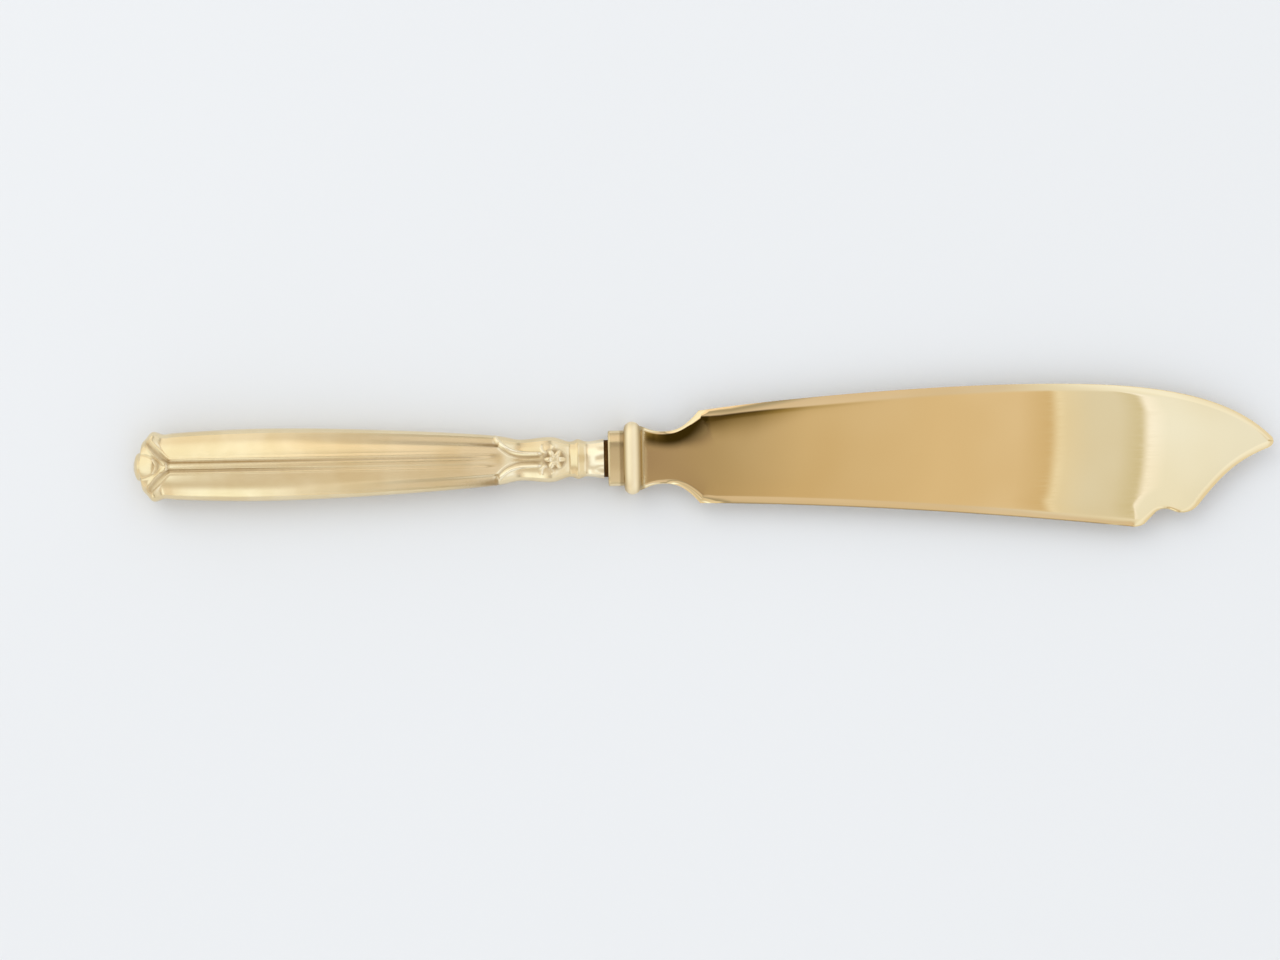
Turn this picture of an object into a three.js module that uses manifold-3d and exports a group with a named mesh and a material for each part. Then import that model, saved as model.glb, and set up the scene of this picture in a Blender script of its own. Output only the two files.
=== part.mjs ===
// Cake knife with a hollow handle, lying on its side on a table.
// One steel forging makes the blade, the bolster and the tang. The handle is two struck half shells,
// soldered rim to rim and filled with cement, and the cement grips the notched tang.
//
// Millimetres. +X runs from the butt to the tip, +Y towards the spine, +Z up.
// Inside the knife group x = 0 is the mouth of the handle, and the axis of the handle is y = z = 0.

import * as THREE from "three";
import { mergeVertices } from "three/addons/utils/BufferGeometryUtils.js";
import Module from "manifold-3d";

const wasm = await Module();
wasm.setup();

// Handle, widths and thicknesses over its two shells
const MOUTH_WIDTH = 9.4;
const MOUTH_THICKNESS = 7.8;
const NECK_WIDTH = 8.4;
const NECK_THICKNESS = 6.8;
const RING_WIDTH = 9.5;
const RING_THICKNESS = 7.9;
const BUD_WIDTH = 10.7;
const BUD_THICKNESS = 8.7;
const BUD_FOOT_WIDTH = 9.8;
const BUD_FOOT_THICKNESS = 8;
const SHOULDER_WIDTH = 11.6;
const SHOULDER_THICKNESS = 8.8;
const MIDDLE_WIDTH = 15.6;
const MIDDLE_THICKNESS = 10.4;
const BELLY_WIDTH = 17.2;
const BELLY_THICKNESS = 11;
const TAPER_WIDTH = 15.8;
const TAPER_THICKNESS = 10.1;
const WAIST_WIDTH = 15.3;
const WAIST_THICKNESS = 9.6;
const CORNER_WIDTH = 16.5;
const CORNER_THICKNESS = 9.7;
const SIDE_LOBE_WIDTH = 13.5;
const SIDE_LOBE_THICKNESS = 8.9;
const SIDE_LOBE_END_WIDTH = 11.4;
const SIDE_LOBE_END_THICKNESS = 8.2;
const LOBE_ROOT_WIDTH = 7.3;
const LOBE_ROOT_THICKNESS = 7.6;
const END_LOBE_WIDTH = 6;
const END_LOBE_THICKNESS = 6;
const END_FLAT_WIDTH = 2.4;
const END_FLAT_THICKNESS = 2.8;

// Handle, lengths of its stretches: from the mouth to the shoulder, and back from the butt to the belly
const HANDLE_LENGTH = 111.2;
const CUFF_LENGTH = 4.3;
const RING_LENGTH = 3.6;
const BUD_RISE_LENGTH = 4.3;
const BUD_TAIL_LENGTH = 7.7;
const SHOULDER_LENGTH = 4.9;
const END_LOBE_LENGTH = 0.7;
const LOBE_ROOT_LENGTH = 0.9;
const SIDE_LOBE_END_LENGTH = 0.5;
const SIDE_LOBE_LENGTH = 0.9;
const CORNER_LENGTH = 1.5;
const WAIST_LENGTH = 2.5;
const TAPER_LENGTH = 2.7;
const BELLY_LENGTH = 20;

// Handle, struck relief: a reed between two grooves, which parts at the butt round a lobe, and side hollows
const SECTION_POWER = 2.8;
const REED_WIDTH = 2.2;
const REED_HEIGHT = 0.2;
const GROOVE_WIDTH = 0.9;
const GROOVE_DEPTH = 0.35;
const LIP_WIDTH = 1.1;
const LIP_HEIGHT = 0.15;
const REED_FADE = 8;
const FAN_LENGTH = 9.2;
const FAN_SPREAD = 10;
const FAN_POWER = 1.4;
const REED_END_FROM_BUTT = 8.7;
const LOBE_REACH = 6.3;
const LOBE_SIDE = 3.1;
const RELIEF_END_SHARE = 0.7;
const RELIEF_END_FADE = 0.2;
const SIDE_HOLLOW_DEPTH = 0.55;
const SIDE_HOLLOW_LENGTH = 48;
const SIDE_HOLLOW_PLACE = 0.72;
const SIDE_HOLLOW_REACH = 0.2;
const CUFF_FLUTE_DEPTH = 0.22;
const CUFF_FLUTE_LENGTH = 2.4;

// Handle, raised ornament on the bud: two leaf edges that sweep in from the shoulder, and a rosette
const ORNAMENT_HEIGHT = 0.3;
const LEAF_EDGE_WIDTH = 1.1;
const LEAF_EDGE_LENGTH = 11;
const LEAF_EDGE_END = 1.15;
const ROSETTE_AHEAD_OF_BUD = 0.7;
const ROSETTE_RADIUS = 2.5;
const ROSETTE_EYE_RADIUS = 0.6;
const PETALS = 6;
const PETAL_WIDTH = 1;

// Handle, sheet and joints
const SHEET = 0.6;
const SEAM_SOLDER = 0.3;
const FIT_GAP = 0.3;
const CEMENT_ROUND_TANG = 1.5;
const MOUTH_JOINT = 1;

// Blade forging
const COLLAR_LENGTH = 3.7;
const COLLAR_WIDTH = 13.2;
const COLLAR_CHAMFER = 0.4;
const BEAD_LENGTH = 4;
const BEAD_RISE = 2;
const BEAD_FILLET = 0.8;
const FILLET_SHARE_OF_NECK = 0.95;
const BOLSTER_SECTION_POWER = 5;
const NECK_LENGTH = 13.9;
const NECK_WAIST_FROM_BEAD = 5.5;
const BLADE_NECK_WIDTH = 12.4;
const HEEL_WIDTH = 21.9;
const BLADE_LENGTH = 136.2;
const BLADE_THICKNESS = 1.4;
const RIM_THICKNESS = 0.5;
const RIM_BEVEL_WIDTH = 0.7;
const SPINE_HEIGHT = 15.85;
const SPINE_CREST_FROM_HEEL = 77.4;
const SPINE_PULL = 24;
const TIP_HEIGHT = 0.9;
const TIP_ROUND = 1.4;
const SWEEP_LENGTH = 18.2;
const SWEEP_DROP = 13.5;
const BARB_LENGTH = 4;
const BARB_DROP = 15.3;
const NOTCH_LENGTH = 4;
const NOTCH_DROP = 14.3;
const STEP_LENGTH = 7.4;
const EDGE_DROP = 18.45;
const TANG_LENGTH = 66;
const TANG_TAPER = 0.8;
const TANG_NOTCHES = 3;
const TANG_NOTCH_RADIUS = 0.5;

// Fineness of the faceted surfaces
const QUARTER_STEPS = 10;
const STEPS_PER_FLUTE = 4;
const OUTER_STEPS = 3;
const TURN_STEPS = 40;
const CURVE_STEPS = 12;
const SMALL_CURVE_STEPS = 5;

const { lerp, smoothstep } = THREE.MathUtils;

// Solids

function solidOf(geometry) {
  const bare = geometry.clone();
  bare.deleteAttribute("normal");
  bare.deleteAttribute("uv");
  const merged = mergeVertices(bare);
  const corners = merged.index.array;
  const triVerts = [];
  for (let i = 0; i < corners.length; i += 3) {
    const [a, b, c] = corners.slice(i, i + 3);
    if (a !== b && b !== c && c !== a) triVerts.push(a, b, c);
  }
  return new wasm.Manifold(
    new wasm.Mesh({
      numProp: 3,
      vertProperties: new Float32Array(merged.attributes.position.array),
      triVerts: new Uint32Array(triVerts),
    }),
  );
}

function meshOf(name, solid, material) {
  const { vertProperties, triVerts } = solid.getMesh();
  const geometry = new THREE.BufferGeometry();
  geometry.setAttribute("position", new THREE.BufferAttribute(vertProperties, 3));
  geometry.setIndex(new THREE.BufferAttribute(triVerts, 1));
  geometry.computeVertexNormals();
  const mesh = new THREE.Mesh(geometry, material);
  mesh.name = name;
  return mesh;
}

// A closed skin over rings of equally many points, each counter-clockwise seen from +X, laid towards -X.
function loft(rings) {
  const around = rings[0].length;
  const points = rings.flat();
  const faces = [];
  for (let i = 0; i + 1 < rings.length; i += 1) {
    for (let j = 0; j < around; j += 1) {
      const here = i * around + j;
      const next = i * around + ((j + 1) % around);
      const falling = points[here].distanceTo(points[next + around]);
      const rising = points[next].distanceTo(points[here + around]);
      if (falling <= rising) faces.push(here, here + around, next + around, here, next + around, next);
      else faces.push(here, here + around, next, next, here + around, next + around);
    }
  }
  const last = (rings.length - 1) * around;
  for (let j = 1; j + 1 < around; j += 1) {
    faces.push(0, j, j + 1, last, last + j + 1, last + j);
  }
  const geometry = new THREE.BufferGeometry().setFromPoints(points);
  geometry.setIndex(faces);
  return solidOf(geometry);
}

// Handle

const NECK_X = -CUFF_LENGTH;
const RING_X = NECK_X - RING_LENGTH / 2;
const BUD_ROOT_X = NECK_X - RING_LENGTH;
const BUD_X = BUD_ROOT_X - BUD_RISE_LENGTH;
const BUD_FOOT_X = BUD_X - BUD_TAIL_LENGTH;
const SHOULDER_X = BUD_FOOT_X - SHOULDER_LENGTH;
const END_LOBE_X = END_LOBE_LENGTH - HANDLE_LENGTH;
const LOBE_ROOT_X = END_LOBE_X + LOBE_ROOT_LENGTH;
const SIDE_LOBE_END_X = LOBE_ROOT_X + SIDE_LOBE_END_LENGTH;
const SIDE_LOBE_X = SIDE_LOBE_END_X + SIDE_LOBE_LENGTH;
const CORNER_X = SIDE_LOBE_X + CORNER_LENGTH;
const WAIST_X = CORNER_X + WAIST_LENGTH;
const TAPER_X = WAIST_X + TAPER_LENGTH;
const BELLY_X = TAPER_X + BELLY_LENGTH;

// Stations from the mouth to the butt: x, width and thickness. Past the side lobes the butt is solid.
const hollowStations = [
  [0, MOUTH_WIDTH, MOUTH_THICKNESS],
  [NECK_X, NECK_WIDTH, NECK_THICKNESS],
  [RING_X, RING_WIDTH, RING_THICKNESS],
  [BUD_ROOT_X, NECK_WIDTH, NECK_THICKNESS],
  [BUD_X, BUD_WIDTH, BUD_THICKNESS],
  [BUD_FOOT_X, BUD_FOOT_WIDTH, BUD_FOOT_THICKNESS],
  [SHOULDER_X, SHOULDER_WIDTH, SHOULDER_THICKNESS],
  [(SHOULDER_X + BELLY_X) / 2, MIDDLE_WIDTH, MIDDLE_THICKNESS],
  [BELLY_X, BELLY_WIDTH, BELLY_THICKNESS],
  [TAPER_X, TAPER_WIDTH, TAPER_THICKNESS],
  [WAIST_X, WAIST_WIDTH, WAIST_THICKNESS],
  [CORNER_X, CORNER_WIDTH, CORNER_THICKNESS],
  [SIDE_LOBE_X, SIDE_LOBE_WIDTH, SIDE_LOBE_THICKNESS],
];
const solidStations = [
  [SIDE_LOBE_END_X, SIDE_LOBE_END_WIDTH, SIDE_LOBE_END_THICKNESS],
  [LOBE_ROOT_X, LOBE_ROOT_WIDTH, LOBE_ROOT_THICKNESS],
  [END_LOBE_X, END_LOBE_WIDTH, END_LOBE_THICKNESS],
  [-HANDLE_LENGTH, END_FLAT_WIDTH, END_FLAT_THICKNESS],
];

// The curve through the stations holds x, half the width and half the thickness.
const handleStations = [...hollowStations, ...solidStations].map(
  ([x, width, thickness]) => new THREE.Vector3(x, width / 2, thickness / 2),
);
const handleRail = new THREE.CatmullRomCurve3(handleStations);

// A rounded hump over -1 to 1, with no step at its ends.
const hump = (t) => Math.max(0, 1 - t * t) ** 2;

// The grooves run beside the reed, then fan out to the corners of the butt with half a reed each.
function grooveAt(x) {
  const intoFan = Math.max(0, FAN_LENGTH - (x + HANDLE_LENGTH)) / FAN_LENGTH;
  return REED_WIDTH / 2 + FAN_SPREAD * intoFan ** FAN_POWER;
}

// Half the height of the groove that goes round the lobe in the middle of the butt.
function lobeAt(x) {
  const alongLobe = Math.min(1, (x + HANDLE_LENGTH) / LOBE_REACH);
  return LOBE_SIDE * Math.sqrt(1 - alongLobe ** 2);
}

// How far the struck surface stands out of the plain section at a distance y from the middle.
function relief(x, y, halfWidth) {
  const pastShoulder = SHOULDER_X - x;
  const reeded = smoothstep(pastShoulder, 0, REED_FADE);
  const groove = grooveAt(x);
  const inward = (groove - y) / (REED_WIDTH / 2);
  const reed = REED_HEIGHT * Math.max(0, 1 - (inward - 1) ** 2);
  const fromButt = x + HANDLE_LENGTH;
  const pastLobe = Math.hypot(fromButt / LOBE_REACH, y / LOBE_SIDE) - 1;
  const lobeEdge = GROOVE_DEPTH * hump((pastLobe * (LOBE_REACH + LOBE_SIDE)) / GROOVE_WIDTH);
  const acrossReed = hump((2 * (fromButt - REED_END_FROM_BUTT)) / GROOVE_WIDTH) * hump(y / REED_WIDTH);
  const reedEnd = (GROOVE_DEPTH / 2) * acrossReed;
  const cut = GROOVE_DEPTH * hump((2 * (y - groove)) / GROOVE_WIDTH);
  const lip = LIP_HEIGHT * hump((2 * (y - groove - LIP_WIDTH / 2)) / LIP_WIDTH);
  const deepening = pastShoulder < 0 ? 0 : Math.max(0, 1 - pastShoulder / SIDE_HOLLOW_LENGTH);
  const shareOfWidth = y / halfWidth;
  const acrossHollow = hump((shareOfWidth - SIDE_HOLLOW_PLACE) / SIDE_HOLLOW_REACH);
  const onFace = 1 - smoothstep(shareOfWidth, RELIEF_END_SHARE, RELIEF_END_SHARE + RELIEF_END_FADE);
  const struck = reed - reedEnd - lobeEdge - cut + lip;
  return reeded * onFace * struck - SIDE_HOLLOW_DEPTH * deepening * acrossHollow;
}

// Distances across a quarter of the section, from the middle to the seam. Beside the reed they lie on the
// ridges and grooves, and on the neck they are evenly turned.
function acrossQuarter(x, halfWidth) {
  const groove = grooveAt(x);
  const lobe = Math.max(groove / 3, lobeAt(x));
  const reed = Math.max(groove / 1.5, groove - REED_WIDTH / 2);
  const lines = [0, lobe, reed, groove, groove + LIP_WIDTH / 2, groove + LIP_WIDTH];
  const limits = [0, 0.64, 0.68, 0.72, 0.78, 0.86];
  const kept = lines.map((y, k) => Math.min(y, limits[k] * halfWidth));
  const start = Math.asin(kept.at(-1) / halfWidth);
  const rest = QUARTER_STEPS + 1 - kept.length;
  const reedShare = smoothstep(-x, -BUD_FOOT_X, -SHOULDER_X);
  return Array.from({ length: QUARTER_STEPS + 1 }, (_, k) => {
    const turned = halfWidth * Math.sin(((k / QUARTER_STEPS) * Math.PI) / 2);
    const past = k + 1 - kept.length;
    const aligned = past <= 0 ? kept[k] : halfWidth * Math.sin(lerp(start, Math.PI / 2, past / rest));
    return lerp(turned, aligned, reedShare);
  });
}

// One ring of the handle. Inset rings lie inside the sheet, and the flutes of the cuff are only outside.
function handleRing({ x, y: halfWidth, z: halfThickness }, inset) {
  const width = halfWidth - inset;
  const thickness = halfThickness - inset;
  const fluted = inset > 0 ? 0 : CUFF_FLUTE_DEPTH * (1 - smoothstep(-x, 0, CUFF_FLUTE_LENGTH));
  const quarter = acrossQuarter(x, width).map((y, k) => {
    const z = thickness * Math.max(0, 1 - (y / width) ** SECTION_POWER) ** (1 / SECTION_POWER);
    const flute = (fluted * (1 + Math.cos((k * 2 * Math.PI) / STEPS_PER_FLUTE))) / 2;
    const out = 1 + (relief(x, y, width) - flute) / Math.hypot(y, z);
    return [y * out, z * out];
  });
  const up = quarter.slice().reverse();
  const half = [...up, ...quarter.slice(1).map(([y, z]) => [-y, z])];
  const under = half.slice(1, -1).map(([y, z]) => [-y, -z]);
  return [...half, ...under].map(([y, z]) => new THREE.Vector3(x, y, z));
}

function handleOutside(growth) {
  const spots = handleRail.getPoints((handleStations.length - 1) * OUTER_STEPS);
  return loft(spots.map((spot) => handleRing(spot, -growth)));
}

// The space inside the handle, out past the mouth and up to the side lobes, with its walls inset.
function handleCavity(inset, pastMouth) {
  const shrink = 1 - inset / HANDLE_LENGTH;
  const spots = handleStations.slice(0, hollowStations.length);
  const rings = spots.map((spot) => handleRing(spot, inset).map((point) => point.setX(spot.x * shrink)));
  const mouth = rings[0].map((point) => point.clone().setX(pastMouth));
  return loft([mouth, ...rings]);
}

// One edge of the calyx: a tapering strip from the side of the shoulder to beside the middle of the bud.
function leafEdgeOutline(side) {
  const root = SHOULDER_X - LEAF_EDGE_WIDTH / 2;
  const end = root + LEAF_EDGE_LENGTH;
  const turn = lerp(root, end, 0.12);
  const bend = lerp(root, end, 0.35);
  const wide = side * (SHOULDER_WIDTH / 2 + LEAF_EDGE_WIDTH);
  const inner = side * LEAF_EDGE_END;
  const outer = side * (LEAF_EDGE_END + LEAF_EDGE_WIDTH / 2);
  const outline = new THREE.Shape();
  outline.moveTo(root, wide);
  outline.bezierCurveTo(turn, lerp(inner, wide, 0.25), bend, inner, end, inner);
  outline.lineTo(end, outer);
  outline.bezierCurveTo(
    bend + LEAF_EDGE_WIDTH, outer,
    turn + LEAF_EDGE_WIDTH, lerp(outer, wide, 0.25),
    root + LEAF_EDGE_WIDTH, wide,
  );
  return outline;
}

// Petals round an eye, each a narrow oval that points outwards from under the eye.
function rosetteOutlines() {
  const centre = BUD_X + ROSETTE_AHEAD_OF_BUD;
  const halfLength = (ROSETTE_RADIUS - ROSETTE_EYE_RADIUS / 2) / 2;
  const eye = new THREE.Shape().absarc(centre, 0, ROSETTE_EYE_RADIUS, 0, 2 * Math.PI);
  const petals = Array.from({ length: PETALS }, (_, k) => {
    const turn = (k * 2 * Math.PI) / PETALS;
    const x = centre + (ROSETTE_RADIUS - halfLength) * Math.cos(turn);
    const y = (ROSETTE_RADIUS - halfLength) * Math.sin(turn);
    return new THREE.Shape().absellipse(x, y, halfLength, PETAL_WIDTH / 2, 0, 2 * Math.PI, false, turn);
  });
  return [eye, ...petals];
}

// The ornament of both faces, carried right through the handle and a little above its surface.
function raisedOrnament() {
  const outlines = [leafEdgeOutline(1), leafEdgeOutline(-1), ...rosetteOutlines()];
  const posts = outlines.map((outline) => {
    const post = new THREE.ExtrudeGeometry(outline, {
      depth: 2 * BELLY_THICKNESS,
      bevelEnabled: false,
      curveSegments: SMALL_CURVE_STEPS,
    });
    return solidOf(post.translate(0, 0, -BELLY_THICKNESS));
  });
  const all = posts.reduce((sum, post) => sum.add(post));
  return all.intersect(handleOutside(ORNAMENT_HEIGHT));
}

// A slab across the whole handle, from one height to another.
function slab(low, high) {
  const reach = 2 * (HANDLE_LENGTH + BELLY_WIDTH);
  const box = new THREE.BoxGeometry(reach, reach, high - low);
  return solidOf(box.translate(0, 0, (low + high) / 2));
}

// The two struck shells and the line of solder between their rims.
function handleShells() {
  const skin = handleOutside(0).add(raisedOrnament()).subtract(handleCavity(SHEET, SHEET));
  const half = SEAM_SOLDER / 2;
  return {
    front: skin.intersect(slab(half, BELLY_THICKNESS)),
    back: skin.intersect(slab(-BELLY_THICKNESS, -half)),
    seam: skin.intersect(slab(-half, half)),
  };
}

// Cement cast in the handle round the tang. It shows as a lip between the mouth and the bolster.
function handleFilling() {
  const core = handleCavity(SHEET + FIT_GAP, MOUTH_JOINT / 2);
  const radius = (MOUTH_WIDTH - SHEET) / 2;
  const lip = new THREE.CylinderGeometry(radius, radius, MOUTH_JOINT, TURN_STEPS);
  lip.rotateZ(Math.PI / 2);
  lip.scale(1, 1, (MOUTH_THICKNESS - SHEET) / 2 / radius);
  lip.translate(MOUTH_JOINT / 2, 0, 0);
  return core.add(solidOf(lip)).subtract(tang(FIT_GAP));
}

// Blade forging

// The bead is as thick as the belly with its reeds, so the knife lies level.
const BEAD_WIDTH = COLLAR_WIDTH + 2 * BEAD_RISE;
const BEAD_THICKNESS = BELLY_THICKNESS + 2 * REED_HEIGHT;
const COLLAR_END = MOUTH_JOINT + COLLAR_LENGTH;
const BEAD_END = COLLAR_END + BEAD_LENGTH;
const HEEL = BEAD_END + NECK_LENGTH;
const TIP = HEEL + BLADE_LENGTH;

// The plate of the blade with its neck, seen from above: spine, tip, barbed notch, cutting edge.
function bladeOutline() {
  const heel = HEEL_WIDTH / 2;
  const neck = BLADE_NECK_WIDTH / 2;
  const bead = (COLLAR_WIDTH + BEAD_RISE) / 2;
  const root = COLLAR_END + BEAD_LENGTH / 2;
  const waist = BEAD_END + NECK_WAIST_FROM_BEAD;
  const crest = HEEL + SPINE_CREST_FROM_HEEL;
  const sweep = TIP - SWEEP_LENGTH;
  const barb = sweep - BARB_LENGTH;
  const notch = barb - NOTCH_LENGTH;
  const edgeEnd = notch - STEP_LENGTH;
  const outline = new THREE.Shape();

  outline.moveTo(root, bead);
  outline.lineTo(BEAD_END, bead);
  outline.bezierCurveTo(
    lerp(BEAD_END, waist, 0.35), lerp(bead, neck, 0.6),
    lerp(BEAD_END, waist, 0.6), neck,
    waist, neck,
  );
  outline.bezierCurveTo(
    lerp(waist, HEEL, 0.4), neck,
    lerp(waist, HEEL, 0.65), lerp(neck, heel, 0.28),
    HEEL, heel,
  );
  outline.bezierCurveTo(
    lerp(HEEL, crest, 0.25), lerp(heel, SPINE_HEIGHT, 0.52),
    crest - SPINE_PULL, SPINE_HEIGHT,
    crest, SPINE_HEIGHT,
  );
  outline.bezierCurveTo(
    crest + SPINE_PULL, SPINE_HEIGHT,
    lerp(crest, TIP, 0.79), lerp(SPINE_HEIGHT, TIP_HEIGHT, 0.09),
    TIP - TIP_ROUND / 3, TIP_HEIGHT + TIP_ROUND,
  );
  outline.quadraticCurveTo(
    TIP + TIP_ROUND / 3, TIP_HEIGHT - TIP_ROUND / 5,
    TIP - TIP_ROUND, TIP_HEIGHT - TIP_ROUND * 0.82,
  );

  outline.bezierCurveTo(
    lerp(TIP, sweep, 0.46), -SWEEP_DROP * 0.22,
    lerp(TIP, sweep, 0.66), -SWEEP_DROP * 0.43,
    sweep, -SWEEP_DROP,
  );
  outline.quadraticCurveTo(lerp(sweep, barb, 0.4), -BARB_DROP, barb, -BARB_DROP);
  outline.bezierCurveTo(
    lerp(barb, notch, 0.45), -BARB_DROP,
    lerp(barb, notch, 0.6), -NOTCH_DROP,
    notch, -NOTCH_DROP,
  );
  outline.quadraticCurveTo(
    lerp(notch, edgeEnd, 0.2), -NOTCH_DROP,
    lerp(notch, edgeEnd, 0.33), -lerp(NOTCH_DROP, EDGE_DROP, 0.25),
  );
  outline.lineTo(lerp(notch, edgeEnd, 0.62), -lerp(NOTCH_DROP, EDGE_DROP, 0.78));
  outline.quadraticCurveTo(lerp(notch, edgeEnd, 0.77), -EDGE_DROP, edgeEnd, -EDGE_DROP);

  outline.quadraticCurveTo(lerp(edgeEnd, HEEL, 0.54), -lerp(EDGE_DROP, heel, 0.845), HEEL, -heel);
  outline.bezierCurveTo(
    lerp(waist, HEEL, 0.65), -lerp(neck, heel, 0.28),
    lerp(waist, HEEL, 0.4), -neck,
    waist, -neck,
  );
  outline.bezierCurveTo(
    lerp(BEAD_END, waist, 0.6), -neck,
    lerp(BEAD_END, waist, 0.35), -lerp(bead, neck, 0.6),
    BEAD_END, -bead,
  );
  outline.lineTo(root, -bead);
  return outline;
}

function bladePlate() {
  const plate = new THREE.ExtrudeGeometry(bladeOutline(), {
    depth: RIM_THICKNESS,
    bevelThickness: (BLADE_THICKNESS - RIM_THICKNESS) / 2,
    bevelSize: RIM_BEVEL_WIDTH,
    bevelOffset: -RIM_BEVEL_WIDTH,
    bevelSegments: 1,
    curveSegments: CURVE_STEPS,
  });
  return solidOf(plate.translate(0, 0, -RIM_THICKNESS / 2));
}

// The collar against the handle and the bead before the blade, turned and then flattened to a squarish oval.
function bolster() {
  const collar = COLLAR_WIDTH / 2;
  const middle = COLLAR_END + BEAD_LENGTH / 2;
  const profile = new THREE.Path();
  profile.moveTo(collar - COLLAR_CHAMFER, MOUTH_JOINT);
  profile.lineTo(collar, MOUTH_JOINT + COLLAR_CHAMFER);
  profile.lineTo(collar, COLLAR_END);
  profile.absellipse(collar, middle, BEAD_RISE, BEAD_LENGTH / 2, -Math.PI / 2, Math.PI / 2);
  const squared = (turn) => Math.sign(turn) * Math.abs(turn) ** (2 / BOLSTER_SECTION_POWER);
  const ringAt = ({ x: radius, y: along }) =>
    Array.from({ length: TURN_STEPS }, (_, k) => {
      const turn = ((k + 0.5) * 2 * Math.PI) / TURN_STEPS;
      const rise = (radius * BEAD_THICKNESS) / BEAD_WIDTH;
      return new THREE.Vector3(along, radius * squared(Math.cos(turn)), rise * squared(Math.sin(turn)));
    });
  return loft(profile.getPoints(SMALL_CURVE_STEPS).map(ringAt).toReversed());
}

// The small hollow that grinding leaves between the bead and both faces of the blade, as wide as the neck.
function neckFillet() {
  const inBead = COLLAR_END + BEAD_LENGTH / 2;
  const end = BEAD_END + BEAD_FILLET;
  const low = RIM_THICKNESS / 2;
  const high = BLADE_THICKNESS / 2 + BEAD_FILLET;
  const profile = new THREE.Shape();
  profile.moveTo(inBead, -high);
  profile.lineTo(BEAD_END, -high);
  profile.quadraticCurveTo(BEAD_END, -low, end, -low);
  profile.lineTo(end, low);
  profile.quadraticCurveTo(BEAD_END, low, BEAD_END, high);
  profile.lineTo(inBead, high);
  const bar = new THREE.ExtrudeGeometry(profile, {
    depth: BEAD_WIDTH,
    bevelEnabled: false,
    curveSegments: SMALL_CURVE_STEPS,
  });
  bar.translate(0, 0, -BEAD_WIDTH / 2);
  bar.rotateX(Math.PI / 2);
  const column = new THREE.ExtrudeGeometry(bladeOutline(), {
    depth: BEAD_WIDTH,
    bevelEnabled: false,
    curveSegments: CURVE_STEPS,
  });
  column.translate(0, 0, -BEAD_WIDTH / 2);
  column.scale(1, FILLET_SHARE_OF_NECK, 1);
  return solidOf(bar).intersect(solidOf(column));
}

// The flat tang, tapered and notched down both sides. A clearance makes the socket that it sits in.
function tang(clearance) {
  const cover = SHEET + CEMENT_ROUND_TANG;
  const wide = Math.min(MOUTH_WIDTH, NECK_WIDTH) / 2 - cover;
  const thick = Math.min(MOUTH_THICKNESS, NECK_THICKNESS) - 2 * (cover - clearance);
  const sideAt = (x) => wide + (TANG_TAPER / 2) * (x / TANG_LENGTH) + clearance;
  const radius = TANG_NOTCH_RADIUS - clearance / 2;
  const root = MOUTH_JOINT + COLLAR_LENGTH / 2;
  const end = -TANG_LENGTH - clearance;
  const pitch = TANG_LENGTH / (TANG_NOTCHES + 1);
  const notches = Array.from({ length: TANG_NOTCHES }, (_, k) => -pitch * (k + 1));
  const outline = new THREE.Shape();
  outline.moveTo(root, -sideAt(root));
  outline.lineTo(root, sideAt(root));
  for (const x of notches) outline.absarc(x, sideAt(x), radius, 0, Math.PI, true);
  outline.lineTo(end, sideAt(end));
  outline.lineTo(end, -sideAt(end));
  for (const x of notches.toReversed()) outline.absarc(x, -sideAt(x), radius, Math.PI, 0, true);
  const bar = new THREE.ExtrudeGeometry(outline, {
    depth: thick,
    bevelEnabled: false,
    curveSegments: SMALL_CURVE_STEPS,
  });
  return solidOf(bar.translate(0, 0, -thick / 2));
}

// Finishes

const giltSilver = new THREE.MeshStandardMaterial({ color: 0xe6d6ab, roughness: 0.22, metalness: 1 });
const giltSteel = new THREE.MeshStandardMaterial({ color: 0xd9bd88, roughness: 0.1, metalness: 1 });
const silverSolder = new THREE.MeshStandardMaterial({ color: 0xd8c79a, roughness: 0.35, metalness: 1 });
const darkCement = new THREE.MeshStandardMaterial({ color: 0x3a2a14, roughness: 0.85, metalness: 0 });

// Assembly

const shells = handleShells();
const handle = new THREE.Group();
handle.add(
  meshOf("handle_front_shell", shells.front, giltSilver),
  meshOf("handle_back_shell", shells.back, giltSilver),
  meshOf("handle_seam_solder", shells.seam, silverSolder),
  meshOf("handle_filling", handleFilling(), darkCement),
);

const forging = bladePlate().add(bolster()).add(neckFillet()).add(tang(0));
const knife = new THREE.Group();
knife.add(handle, meshOf("blade", forging, giltSteel));

// The origin is on the table, under the middle of the outline.
const box = new THREE.Box3().setFromObject(knife);
const middle = box.getCenter(new THREE.Vector3());
knife.position.set(-middle.x, -middle.y, -box.min.z);

const cakeKnife = new THREE.Group();
cakeKnife.add(knife);

export default cakeKnife;
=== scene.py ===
import math

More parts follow.
